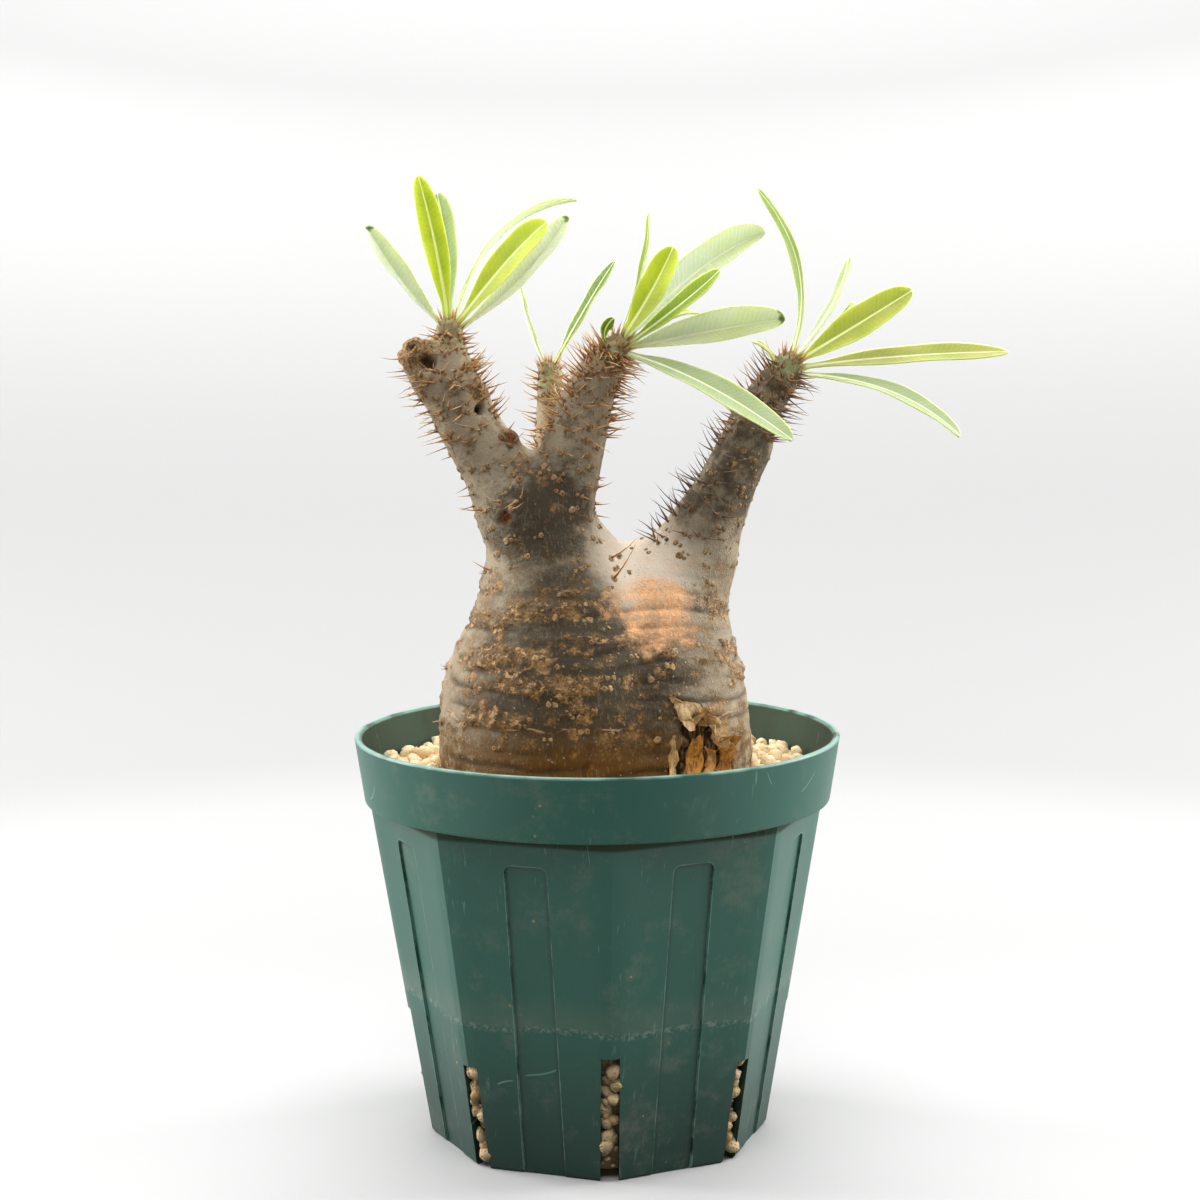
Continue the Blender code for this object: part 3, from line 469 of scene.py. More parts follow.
# Tints laid over the colours that the settings hold
PLASTIC_PALE = (0.020, 0.120, 0.086)
PLASTIC_DEEP = (0.003, 0.022, 0.015)
PLASTIC_INSIDE = (0.032, 0.038, 0.018)
LIME = (0.50, 0.56, 0.50)
SAND = (0.46, 0.36, 0.20)
PUMICE_PALE = (0.88, 0.78, 0.56)
PUMICE_STAIN = (0.62, 0.40, 0.19)
PUMICE_PORE = (0.40, 0.24, 0.11)
PUMICE_BURIED = (0.42, 0.27, 0.12)
BARK_GREY = (0.34, 0.275, 0.185)
BARK_BROWN = (0.14, 0.10, 0.05)
BARK_CREAM = (0.50, 0.42, 0.27)
BARK_THREAD = (0.60, 0.50, 0.37)
BARK_SMOOTH = (0.90, 0.78, 0.64)
BARK_FLAKE = (0.40, 0.23, 0.085)
GOLD_DEEP = (0.17, 0.085, 0.025)
GOLD = (0.46, 0.27, 0.10)
SOIL_STAIN = (0.030, 0.018, 0.007)
CREASE_SHADE = (0.045, 0.032, 0.018)
CRUST_HOLLOW = (0.07, 0.045, 0.022)
CRUST_PALE = (0.70, 0.45, 0.22)
FLECK = (0.58, 0.41, 0.23)
PORE = (0.05, 0.032, 0.018)
BLUSH_VEIN = (0.62, 0.24, 0.06)
LIMB_SHADE = (0.10, 0.078, 0.048)
YOUNG_GREEN = (0.42, 0.46, 0.22)
YOUNG_BROWN = (0.30, 0.22, 0.11)
WOOD_DEEP = (0.10, 0.05, 0.02)
WOOD_PALE = (0.50, 0.30, 0.12)
CRACK_PALE = (0.62, 0.43, 0.25)
FIBRE_DEEP = (0.045, 0.028, 0.013)
FIBRE_PALE = (0.36, 0.22, 0.09)
PEEL_DARK = (0.022, 0.012, 0.006)
RUST_DEEP = (0.05, 0.016, 0.007)
RUST_PALE = (0.24, 0.075, 0.022)
SPINE_TIP = (0.74, 0.46, 0.18)
OLD_SPINE_TIP = (0.19, 0.14, 0.14)
SPINE_STREAK = (0.16, 0.06, 0.02)
CUSHION_FOOT = (0.22, 0.155, 0.09)
CUSHION_BROWN = (0.30, 0.165, 0.06)
CUSHION_PALE = (0.52, 0.35, 0.17)
CUSHION_STAIN = (0.11, 0.065, 0.03)
CUSHION_CRATER = (0.07, 0.038, 0.016)
STRAW = (0.52, 0.35, 0.16)
STRAW_DEEP = (0.27, 0.175, 0.09)
STRAW_STAIN = (0.09, 0.05, 0.022)
HONEY = (0.60, 0.29, 0.05)
HONEY_DEEP = (0.22, 0.095, 0.022)
LEAF_PATCH = (0.20, 0.27, 0.03)
LEAF_VEIN = (0.75, 0.78, 0.30)
LEAF_RIB = (0.84, 0.87, 0.58)
LEAF_MARGIN = (0.55, 0.62, 0.16)
LEAF_DRY = (0.07, 0.10, 0.02)
LEAF_STALK = (0.52, 0.60, 0.28)
LEAF_GLOW = (0.9, 1.0, 0.45)
UNDER_PATCH = (0.52, 0.60, 0.38)
UNDER_RIB = (1.0, 1.0, 0.90)

# Studio, in metres
FLAT_RADIUS = 0.27
CURVE_RADIUS = 1.2
CURVE_STEPS = 24
BOWL_SIDES = 96
WALL_HEIGHT = 2.4
HEART = (0.0, 0.0, 0.11)
CROWN = (0.0, 0.0, 0.15)
BACKDROP = (0.0, 1.4, 0.45)
# Lights: name, place, target, size and the setting that holds the power
LIGHTS = [
    ("left_light", (-0.70, 0.20, 0.42), HEART, (0.45, 0.6), "side_power"),
    ("right_light", (0.70, 0.20, 0.42), HEART, (0.45, 0.6), "side_power"),
    ("low_left_light", (-0.25, -0.15, 0.01), CROWN, (0.25, 0.25), "low_power"),
    ("low_right_light", (0.25, -0.15, 0.01), CROWN, (0.25, 0.25), "low_power"),
    ("top_light", (0.0, 0.05, 1.1), HEART, (0.8, 0.8), "top_power"),
    ("front_light", (0.0, -0.45, 0.95), CROWN, (0.6, 0.6), "front_power"),
    ("rear_light", (0.0, 0.75, 0.70), CROWN, (0.9, 0.5), "rear_power"),
    ("back_light", (0.0, 0.45, 1.35), BACKDROP, (1.2, 0.4), "back_power"),
]
SENSOR_WIDTH = 36.0
CLIP_START = 0.01
CAMERA_TURN = (math.pi / 2 - 0.128, 0.005, -0.002)


# Settings


def colour_property(name, description, default):
    return FloatVectorProperty(
        name=name, description=description, subtype="COLOR", size=3, min=0.0, max=1.0, default=default
    )


def length_property(name, description, millimetres):
    return FloatProperty(name=name, description=description, unit="LENGTH", default=millimetres * MM)


def power_property(name, description, default):
    return FloatProperty(name=name, description=description, unit="POWER", default=default)


class PotSettings(bpy.types.PropertyGroup):
    height: length_property("Height", "Height of the rim", 88.2)
    rim_radius: length_property("Rim radius", "Outside radius of the rim", 52.5)
    rim_wall: length_property("Rim wall", "Thickness of the round band", 1.5)
    body_wall: length_property("Body wall", "Thickness of the tapered body", 1.9)
    plastic: colour_property("Plastic", "Colour of the moulded plastic", (0.014, 0.098, 0.068))
    # Besides scratches and rubbed spots, this colour paints the highlights along the rim, the band's lower
    # edge and the panel edges.
    scuff_and_highlight: colour_property("Scuff", "Colour of rubbed edges and scratches", (0.30, 0.52, 0.44))
    dust: colour_property("Dust", "Colour of dried dust and deposit", (0.42, 0.40, 0.32))


class PumiceSettings(bpy.types.PropertyGroup):
    level: length_property("Level", "Height of the bed under the grains", 79.9)
    grain_radius: length_property("Grain radius", "Mean radius of a grain", 1.95)
    seed: IntProperty(name="Seed", description="Seed that scatters the grains", default=5)
    cream: colour_property("Cream", "Colour of most grains", (0.80, 0.63, 0.37))
    tan: colour_property("Tan", "Colour of the stained grains", (0.55, 0.31, 0.12))


class StemSettings(bpy.types.PropertyGroup):
    voxel: length_property("Skin fineness", "Face size of the bark", 0.62)
    seed: IntProperty(name="Seed", description="Seed that sets the spines", default=11)
    pale: colour_property("Pale bark", "Colour of the smooth bark", (0.44, 0.36, 0.245))
    olive: colour_property("Olive bark", "Colour of the shaded, older bark", (0.032, 0.022, 0.009))
    cork: colour_property("Cork", "Colour of the corky ridges", (0.44, 0.23, 0.085))
    amber: colour_property("Amber", "Colour of the bark near the soil", (0.135, 0.062, 0.006))
    blush: colour_property("Blush", "Colour of the fresh orange patch", (0.98, 0.56, 0.29))
    dead: colour_property("Dead wood", "Colour of scars and cut wood", (0.05, 0.026, 0.014))
    spine: colour_property("Spine", "Colour of the young spines", (0.36, 0.14, 0.035))
    old_spine: colour_property("Old spine", "Colour of the old spines", (0.10, 0.065, 0.065))


class LeafSettings(bpy.types.PropertyGroup):
    thickness: length_property("Thickness", "Thickness at the midrib", 0.62)
    wave: length_property("Wave", "How far the margins wave", 0.16)
    bright: colour_property("Bright", "Upper side of the fresh leaves", (0.47, 0.53, 0.045))
    green: colour_property("Green", "Upper side of the green leaves", (0.22, 0.31, 0.004))
    olive: colour_property("Olive", "Upper side of the ripe leaves", (0.39, 0.40, 0.09))
    pale: colour_property("Pale", "Upper side of the pale leaves", (0.33, 0.40, 0.23))
    deep: colour_property("Deep green", "Upper side of the deep green leaves", (0.07, 0.135, 0.005))
    dark: colour_property("Dark", "The small curled leaves", (0.10, 0.19, 0.03))
    under: colour_property("Underside", "Lower side of all the leaves", (0.66, 0.74, 0.68))
    rib: colour_property("Rib", "Midrib and side veins", (0.90, 0.93, 0.76))


class StageSettings(bpy.types.PropertyGroup):
    camera_distance: length_property("Camera distance", "From the pot's axis to the camera", 560.5)
    camera_height: length_property("Camera height", "Height of the camera", 189.15)
    focal_length: FloatProperty(
        name="Focal length", description="Of the camera on a 36 mm sensor, in mm", default=78.54
    )
    floor: colour_property("Floor", "Colour of the floor", (0.355, 0.355, 0.353))
    front: colour_property("Front", "Colour of the floor towards the camera", (0.50, 0.50, 0.497))
    curve: colour_property("Curve", "Colour of the paper where it curves up", (0.31, 0.31, 0.308))
    wall: colour_property("Wall", "Colour of the paper high up", (0.74, 0.74, 0.737))
    side_power: power_property("Side light", "Power of each of the side lights", 9.3)
    back_power: power_property("Backdrop light", "Power of the light on the backdrop", 13.5)
    top_power: power_property("Top light", "Power of the light overhead", 3.6)
    front_power: power_property("Front light", "Power of the light high in front", 6.0)
    rear_power: power_property("Rear light", "Power of the light high behind", 6.2)
    low_power: power_property("Low light", "Power of each light that the floor throws back", 0.25)
    air: FloatProperty(name="Air light", description="Strength of the light from all round", default=0.09)


SETTINGS = {
    "plant_pot": PotSettings,
    "plant_pumice": PumiceSettings,
    "plant_stem": StemSettings,
    "plant_leaves": LeafSettings,
    "plant_stage": StageSettings,
}


# Shaders


class Wire:
    """A socket's value inside a shader, which takes part in arithmetic."""

    def __init__(self, graph, socket):
        self.graph = graph
        self.socket = socket

    def __add__(self, other):
        return self.graph.maths("ADD", self, other)

    def __sub__(self, other):
        return self.graph.maths("SUBTRACT", self, other)

    def __rsub__(self, other):
        return self.graph.maths("SUBTRACT", other, self)

    def __mul__(self, other):
        return self.graph.maths("MULTIPLY", self, other)

    def __truediv__(self, other):
        return self.graph.maths("DIVIDE", self, other)

    def __pow__(self, other):
        return self.graph.maths("POWER", self, other)

    __radd__ = __add__
    __rmul__ = __mul__


class Graph:
    """The nodes of one material, whose colour is built up coat by coat."""

    def __init__(self, name, base):
        self.material = bpy.data.materials.new(name)
        self.material.use_nodes = True
        self.tree = self.material.node_tree
        self.shader = self.tree.nodes["Principled BSDF"]
        place = self.node("TexCoord", {}, {}, "Object")
        self.mm = self.node("VectorMath", {"operation": "SCALE"}, {0: place, "Scale": 1 / MM})
        self.base = base

    def node(self, kind, settings, inputs, output=0):
        """Adds a node: its settings come first, then the values or links of its sockets."""
        made = self.tree.nodes.new("ShaderNode" + kind)
        for name, value in settings.items():
            setattr(made, name, value)
        for name, value in inputs.items():
            self.feed(made.inputs[name], value)
        return Wire(self, made.outputs[output])

    def feed(self, socket, value):
        if isinstance(value, Wire):
            self.tree.links.new(value.socket, socket)
        elif isinstance(value, (tuple, bpy.types.bpy_prop_array)) or hasattr(value, "r"):
            colour = tuple(value)
            socket.default_value = colour if len(socket.default_value) == len(colour) else (*colour, 1.0)
        else:
            socket.default_value = value

    def maths(self, operation, first, second=0.0):
        return self.node("Math", {"operation": operation}, {0: first, 1: second})

    def mix(self, share, first, second):
        return self.node("Mix", {"data_type": "RGBA"}, {0: share, 6: first, 7: second}, 2)

    def coat(self, share, colour):
        """Lays a colour over what is there already, as far as the share says."""
        self.base = self.mix(share, self.base, colour)

    def step(self, value, low, high):
        """0 below low and 1 above high, with a soft change between."""
        settings = {"interpolation_type": "SMOOTHSTEP"}
        return self.node("MapRange", settings, {"Value": value, "From Min": low, "From Max": high})

    def near_zero(self, value, low, high):
        """1 where the value is within low of zero, and 0 where it is beyond high."""
        return 1 - self.step(self.maths("ABSOLUTE", value), low, high)

    def stretched(self, x, y, z):
        return self.node("VectorMath", {"operation": "MULTIPLY"}, {0: self.mm, 1: (x, y, z)})

    def noise(self, scale, detail=3.0, rough=0.5, place=None):
        inputs = {"Vector": place or self.mm, "Scale": scale, "Detail": detail, "Roughness": rough}
        return self.node("TexNoise", {}, inputs)

    def cells(self, scale, feature="F1", place=None):
        settings = {"feature": feature}
        return self.node("TexVoronoi", settings, {"Vector": place or self.mm, "Scale": scale}, "Distance")

    def attribute(self, name):
        return self.node("Attribute", {"attribute_name": name}, {}, "Fac")

    def attributes(self, *names):
        return [self.attribute(name) for name in names]

    def axis(self, letter):
        """How far along one axis a point lies, in millimetres."""
        return self.node("SeparateXYZ", {}, {0: self.mm}, letter)

    def bump(self, relief, distance):
        """Relief from 0 to 1 stands this many metres high."""
        inputs = {"Height": relief, "Distance": distance, "Strength": 1.0}
        self.feed(self.shader.inputs["Normal"], self.node("Bump", {}, inputs))

    def finish(self, roughness, **fixed):
        """Feeds the colour and roughness, and sets what is the same all over on the shader itself."""
        self.feed(self.shader.inputs["Base Color"], self.base)
        self.feed(self.shader.inputs["Roughness"], roughness)
        for name, value in fixed.items():
            self.feed(self.shader.inputs[name.replace("_", " ")], value)
        return self.material


def panel_wear_and_painted_light(g, across, height):
    """Where the edge round each recessed panel is painted pale, as rubbed wear together with a painted
    highlight, and where painted shade darkens the recess just inside it.
    """
    around = g.maths("ARCTAN2", g.axis("Y"), g.axis("X")) + math.pi / 2 - BODY_TURN
    from_corner = g.maths("FLOORED_MODULO", around, side_angle())
    aside = g.maths("ABSOLUTE", across * g.maths("SINE", from_corner - side_angle() / 2))
    corner = PANEL_CORNER / MM
    past_side = g.maths("MAXIMUM", aside - (PANEL_WIDTH / MM / 2 - corner), 0.0)
    past_top = g.maths("MAXIMUM", height - (PANEL_EDGE_TOP - corner), 0.0)
    edge = g.maths("SQRT", past_side * past_side + past_top * past_top) - corner
    # The pale line along the edge is rubbed wear together with a painted highlight.
    rubbed_and_highlit = g.near_zero(edge, 0.06, 0.26) * g.step(height, *BELOW_BAND)
    rubbed_and_highlit = rubbed_and_highlit * g.step(g.noise(0.13, 5.0, 0.7), 0.36, 0.60)
    # Painted shade just inside the edge, where the recess wall would throw shade.
    recess_shade = g.step(edge, -1.3, -0.3) * g.step(edge, 0.0, -0.15)
    return rubbed_and_highlit, recess_shade


def plastic_finish(pot):
    g = Graph("moulded_plastic", pot.plastic)
    across = g.node("VectorMath", {"operation": "LENGTH"}, {0: g.stretched(1.0, 1.0, 0.0)}, "Value")
    height = g.axis("Z")
    rim_top = pot.height / MM
    inside = 1 - g.step(across - height * WALL_TAPER, *INNER_WALL)
    inside = inside * g.step(height, *ABOVE_GRAINS)
    cloud = g.noise(0.045, 4.0, 0.6)
    blotch = g.step(g.noise(0.07, 6.0, 0.7), 0.50, 0.72)
    speckle = g.step(g.cells(0.22) + g.noise(0.5, 2.0) * 0.08, 0.13, 0.07)
    speckle = speckle * g.step(g.noise(0.07, 3.0), 0.54, 0.60)
    bend = g.noise(0.022, 0.0, 0.5, g.stretched(1.0, 1.0, 0.5)) - 0.5
    scratch = g.near_zero(bend, 0.0003, 0.0013) * g.step(g.noise(0.13, 2.0), 0.54, 0.60)
    rubbed_and_highlit = g.step(g.noise(0.9, 3.0, 0.6, g.stretched(1.2, 1.2, 0.10)), 0.62, 0.74)
    rubbed_and_highlit = rubbed_and_highlit * g.step(g.noise(0.06, 2.0), 0.50, 0.60)
    above_ring = height + g.noise(0.06, 2.0) * 3.0 - 1.5 - DEPOSIT_HEIGHT
    ring = g.near_zero(above_ring, 0.2, 1.1) * g.step(g.noise(0.9, 4.0, 0.7), 0.46, 0.64)
    haze = g.step(above_ring, -0.5, 1.0) * g.step(above_ring, 9.0, 1.0) * g.noise(0.16, 4.0, 0.6)
    # Painted highlights: thin pale lines along the top of the rim and along the lower edge of the band,
    # broken up by noise.
    lip_highlight = g.step(height, rim_top - 0.7, rim_top - 0.2) * g.step(g.noise(0.12, 2.0), 0.34, 0.56)
    hem_highlight = g.near_zero(height - rim_top + BAND_HEIGHT / MM, 0.1, 0.45) * rubbed_and_highlit
    g.coat(cloud * 0.5, PLASTIC_PALE)
    # Painted shade: the plastic darkens towards the foot.
    g.coat(g.step(height, *FOOT_SHADE) * 0.80, PLASTIC_DEEP)
    g.coat(blotch * 0.20 + haze * 0.18, pot.dust)
    g.coat(inside * (0.80 + blotch * 0.15), PLASTIC_INSIDE)
    g.coat(scratch * 0.42 + rubbed_and_highlit * 0.28, pot.scuff_and_highlight)
    g.coat(ring * 0.36, LIME)
    g.coat(speckle * 0.8, SAND)
    # The two painted highlight lines go on in the same pale colour as the scuffs.
    g.coat((lip_highlight + hem_highlight) * 0.45, pot.scuff_and_highlight)
    # Painted shade inside each panel's edge, then the pale edge line of wear and painted highlight.
    panel_rubbed_and_highlit, panel_recess_shade = panel_wear_and_painted_light(g, across, height)
    g.coat(panel_recess_shade * 0.50, PLASTIC_DEEP)
    g.coat(panel_rubbed_and_highlit * 0.50, pot.scuff_and_highlight)
    g.bump(g.noise(3.2, 3.0, 0.6) * 0.4 + scratch * 0.2 + ring * 0.5 + speckle, 0.07 * MM)
    rough = 0.36 + cloud * 0.12 + blotch * 0.18 + ring * 0.25 + inside * 0.45
    return g.finish(rough, Specular_IOR_Level=0.4)


def pumice_finish(pumice):
    g = Graph("pumice_grains", pumice.cream)
    own = g.attribute("grain")
    pores = g.step(g.cells(1.15), 0.10, 0.42)
    fine = g.noise(0.9, 5.0, 0.7)
    g.coat(own * 0.6, PUMICE_PALE)
    g.coat(g.step(own, 0.70, 0.92) * 0.75, pumice.tan)
    g.coat(g.step(fine, 0.52, 0.72) * 0.35, PUMICE_STAIN)
    g.coat((1 - pores) * 0.30, PUMICE_PORE)
    g.coat(g.step(g.axis("Z"), *BURIED) * (0.45 + own * 0.35), PUMICE_BURIED)
    g.bump(pores * 0.7 + fine * 0.5, 0.28 * MM)
    return g.finish(0.92, Specular_IOR_Level=0.25)


def bark_finish(stem):
    """Pale bark, then its stains and crust, then the marks that the mesh carries."""
    g = Graph("bark_skin", stem.pale)
    wood, cork, crease, peel = g.attributes("wood", "cork", "crease", "peel")
    aged, smooth, patch, young = g.attributes("aged", "smooth", "blush", "young")
    rust, cavity = g.attributes("rust", "cavity")
    height = g.axis("Z")
    sideways = g.axis("X")
    belly = g.step(height, *BELLY)
    low = g.step(height, *LOW_BARK)
    upper = g.step(height, *UPPER_BARK)
    mottle = g.noise(0.26, 8.0, 0.72)
    patches = g.noise(0.11, 8.0, 0.70, g.stretched(1.0, 1.0, 1.8))
    fine = g.noise(1.7, 6.0, 0.75)
    threads = g.noise(0.9, 3.0, 0.6, g.stretched(2.2, 2.2, 0.5))
    upright = g.noise(0.35, 4.0, 0.6, g.stretched(1.0, 1.0, 0.25))
    g.coat(g.step(g.noise(0.055, 4.0, 0.55), 0.38, 0.62), BARK_GREY)
    g.coat(g.step(mottle, 0.50, 0.61) * (0.40 + upper * 0.35), BARK_BROWN)
    g.coat(upper * g.step(patches, 0.54, 0.66) * 0.35, BARK_CREAM)
    # Painted shade: the mask of the dark front places draws the olive, gold and amber coats onto the front
    # of the stem.
    g.coat(g.step(aged * 0.55 + patches * 0.8 + mottle * 0.5, 0.71, 1.08) * 0.90, stem.olive)
    gold = g.step(patches * 0.4 + mottle * 0.8 + cork * 0.10, 0.60, 0.72) * belly
    g.coat(gold * (0.50 + aged * 0.35), g.mix(g.step(fine, 0.42, 0.58), GOLD_DEEP, GOLD))
    g.coat(low * g.step(mottle + aged * 0.30, 0.36, 0.60) * 0.90, stem.amber)
    g.coat(low * g.step(upright, 0.54, 0.64) * 0.45, SOIL_STAIN)
    g.coat(g.step(threads, 0.56, 0.68) * 0.14, BARK_THREAD)
    g.coat(smooth * 0.80, BARK_SMOOTH)
    # Painted shade in the bottoms of the creases.
    g.coat(crease * 0.75, CREASE_SHADE)

    spread = g.noise(0.62, 8.0, 0.72, g.stretched(1.0, 1.0, 1.5))
    crumbs = g.step(spread + cork * 0.10, 0.585, 0.655) * g.step(cork, 0.05, 0.5)
    g.coat(g.step(spread, 0.50, 0.40) * cork * 0.55, CRUST_HOLLOW)
    g.coat(crumbs * 0.85, g.mix(g.step(fine, 0.40, 0.62), stem.cork, CRUST_PALE))
    flecks = g.step(g.cells(0.55) + fine * 0.25, 0.30, 0.18) * belly * (1 - patch)
    g.coat(flecks * 0.75, FLECK)
    pores = g.step(g.cells(0.42) + fine * 0.2, 0.18, 0.12) * (1 - patch)
    g.coat(pores * 0.6, PORE)

    flush = g.step(patch + mottle * 2.2 + patches * 1.8, 2.15, 3.05)
    veins = g.near_zero(g.noise(0.8, 4.0, 0.65) - 0.5, 0.005, 0.045)
    g.coat(flush * 0.92, stem.blush)
    g.coat(flush * veins * 0.6, BLUSH_VEIN)
    flakes = g.step(g.cells(0.60, "F1", g.stretched(1.0, 1.0, 0.8)) + fine * 0.3, 0.34, 0.24)
    g.coat(upper * flakes * 0.6, BARK_FLAKE)
    right_limb = g.step(height, *RIGHT_LIMB_HEIGHT) * g.step(sideways, *RIGHT_LIMB_SIDE)
    g.coat(right_limb * g.step(mottle, 0.30, 0.56) * 0.9, LIMB_SHADE)
    g.coat(young * 0.8, g.mix(g.step(mottle, 0.42, 0.58), YOUNG_GREEN, YOUNG_BROWN))
    g.coat(wood * 0.9, g.mix(g.step(fine, 0.40, 0.58), WOOD_DEEP, WOOD_PALE))
    above_crack = height + g.noise(0.10, 2.0) * 7.0 - 3.5 - CRACK_HEIGHT
    cracks = g.near_zero(above_crack, 0.06, 0.42) * g.step(g.noise(0.16, 3.0), 0.50, 0.56)
    g.coat(cracks * 0.7, CRACK_PALE)

    fibre = g.noise(1.0, 6.0, 0.7, g.stretched(1.6, 1.6, 0.22))
    under_bark = g.mix(g.step(fibre, 0.46, 0.58), FIBRE_DEEP, FIBRE_PALE)
    shaded = g.step(sideways + fibre * 4.0, *PEEL_SHADE)
    g.coat(peel, g.mix(shaded * 0.85, under_bark, PEEL_DARK))
    g.coat(rust, g.mix(g.step(fine, 0.40, 0.60), RUST_DEEP, RUST_PALE))
    g.coat(cavity, stem.dead)
    relief = fine * (0.55 - smooth * 0.3) + mottle * 0.7 * (1 - smooth) + threads * 0.2
    relief = relief + upper * flakes * 0.5 + crumbs * 0.9 + flecks * 0.5 - pores * 0.6 + cracks * 0.6
    g.bump(relief + fibre * peel, 0.60 * MM)
    return g.finish(0.60 + mottle * 0.25, Specular_IOR_Level=0.18)


def spine_finish(stem):
    g = Graph("spine_horn", stem.spine)
    along, grey = g.attributes("along", "grey")
    streak = g.noise(0.9, 3.0, 0.6)
    g.coat(g.step(along, 0.0, 0.7), SPINE_TIP)
    g.coat(grey, g.mix(along, stem.old_spine, OLD_SPINE_TIP))
    g.coat(g.step(streak, 0.50, 0.70) * 0.4, SPINE_STREAK)
    g.bump(g.noise(4.0, 2.0), 0.03 * MM)
    return g.finish(0.40 + streak * 0.2, Specular_IOR_Level=0.4)


def cushion_finish():
    g = Graph("spine_cushion", CUSHION_FOOT)
    rise, tone = g.attributes("along", "tone")
    fine = g.noise(1.4, 5.0, 0.7)
    g.coat(g.step(rise, 0.10, 0.45), g.mix(tone, CUSHION_BROWN, CUSHION_PALE))
    g.coat(g.step(fine, 0.50, 0.62) * 0.6, CUSHION_STAIN)
    g.coat(g.step(rise, 0.70, 0.95) * g.step(tone, 0.75, 0.35) * 0.8, CUSHION_CRATER)
    g.bump(fine, 0.3 * MM)
    return g.finish(0.78, Specular_IOR_Level=0.3)


def loose_bark_finish():
    g = Graph("dry_bark_flake", STRAW)
    amber = g.attribute("amber")
    fibre = g.noise(0.7, 7.0, 0.72, g.stretched(1.5, 1.5, 0.6))
    g.coat(amber, HONEY)
    g.coat(g.step(fibre, 0.42, 0.62), g.mix(amber, STRAW_DEEP, HONEY_DEEP))
    g.coat(g.step(g.noise(2.4, 4.0, 0.7), 0.56, 0.66) * 0.5, STRAW_STAIN)
    g.bump(fibre, 0.30 * MM)
    return g.finish(0.72, Specular_IOR_Level=0.3)


def leaf_finish(leaf, look):
    """Upper and lower side of one kind of leaf, told apart by the blade's own measures."""
    g = Graph("leaf_" + look, getattr(leaf, look))
    along, under, edge, vein, dry = g.attributes("along", "under", "edge", "vein", "dry")
    across = g.maths("ABSOLUTE", g.attribute("across"))
    beat = g.maths("FRACT", vein / VEIN_SPACING + g.noise(0.5, 2.0) * 0.5) - 0.5
    side_vein = g.near_zero(beat, 0.04, 0.17) * g.step(across, 0.35, 0.8)
    net = 1 - g.step(g.cells(1.3, "DISTANCE_TO_EDGE"), 0.02, 0.10)
    rib = 1 - g.step(across - (0.46 - along * 0.30), -0.14, 0.05)
    patches = g.noise(0.12, 4.0, 0.6)
    lower = g.mix(g.step(patches, 0.40, 0.66) * 0.30, leaf.under, UNDER_PATCH)
    lower = g.mix(net * 0.08 + side_vein * 0.24, lower, leaf.rib)
    lower = g.mix(rib, lower, UNDER_RIB)
    g.coat(g.step(patches, 0.36, 0.66) * 0.35, LEAF_PATCH)
    g.coat(side_vein * 0.08, LEAF_VEIN)
    g.coat(rib * 0.8, LEAF_RIB)
    g.coat(under, lower)
    g.coat(g.step(edge, 0.80, 0.97) * 0.40, LEAF_MARGIN)
    g.coat(g.step(along + g.noise(0.45, 3.0) * 0.10, 1.0, 1.03) * dry * 0.85, LEAF_DRY)
    g.coat(g.step(along, 0.12, 0.0) * 0.4, LEAF_STALK)
    relief = g.noise(3.0, 3.0, 0.6) * 0.35 + side_vein * (under * 0.9 - 0.2) + net * 0.2
    g.bump(relief, 0.10 * MM)
    glow = {"Subsurface_Weight": 0.85, "Subsurface_Scale": 2.0 * MM, "Subsurface_Radius": LEAF_GLOW}
    return g.finish(0.40 + under * 0.16 + g.noise(0.8) * 0.1, Specular_IOR_Level=0.2, **glow)


def floor_finish(stage):
    """Paper that is a little darker where the floor curves up, and paler higher on the wall."""
    g = Graph("studio_paper", stage.floor)
    height = g.axis("Z")
    g.coat(g.step(g.axis("Y"), *FRONT_OF_FLOOR), stage.front)
    g.coat(g.step(height, *FOOT_OF_CURVE), stage.curve)
    g.coat(g.step(height, *FOOT_OF_WALL), stage.wall)
    return g.finish(0.9, Specular_IOR_Level=0.1)


# Meshes


def mesh_object(name, points, faces, material=None):
    mesh = bpy.data.meshes.new(name)
    mesh.from_pydata([tuple(p) for p in points], [], [tuple(f) for f in faces])
    mesh.update()
    made = bpy.data.objects.new(name, mesh)
    bpy.context.scene.collection.objects.link(made)
    if material:
        mesh.materials.append(material)
    return made


def keep_values(made, **values):
    """Stores one number per vertex under each name, for the shader to read."""
    for name, numbers in values.items():
        layer = made.data.attributes.new(name, "FLOAT", "POINT")
        layer.data.foreach_set("value", np.asarray(numbers, dtype=np.float32))


def apply_modifiers(made):
    graph = bpy.context.evaluated_depsgraph_get()
    shaped = bpy.data.meshes.new_from_object(made.evaluated_get(graph))
    made.modifiers.clear()
    made.data = shaped


def cut_away(body, cutters):
    """One Boolean on a collection, after which the cutters are removed."""
    group = bpy.data.collections.new(body.name + "_cutters")
    bpy.context.scene.collection.children.link(group)
    for cutter in cutters:
        bpy.context.scene.collection.objects.unlink(cutter)
        group.objects.link(cutter)
    cut = body.modifiers.new("cut", "BOOLEAN")
    cut.operation = "DIFFERENCE"
    cut.operand_type = "COLLECTION"
    cut.collection = group
    cut.solver = "EXACT"
    apply_modifiers(body)
    for cutter in cutters:
        bpy.data.objects.remove(cutter, do_unlink=True)
    bpy.data.collections.remove(group)


def face_outwards(made):
    shape = bmesh.new()
    shape.from_mesh(made.data)
    bmesh.ops.recalc_face_normals(shape, faces=shape.faces)
    shape.to_mesh(made.data)
    shape.free()


def shade(made, sharp_angle=None):
    made.data.shade_smooth()
    if sharp_angle:
        made.data.set_sharp_from_angle(angle=sharp_angle)


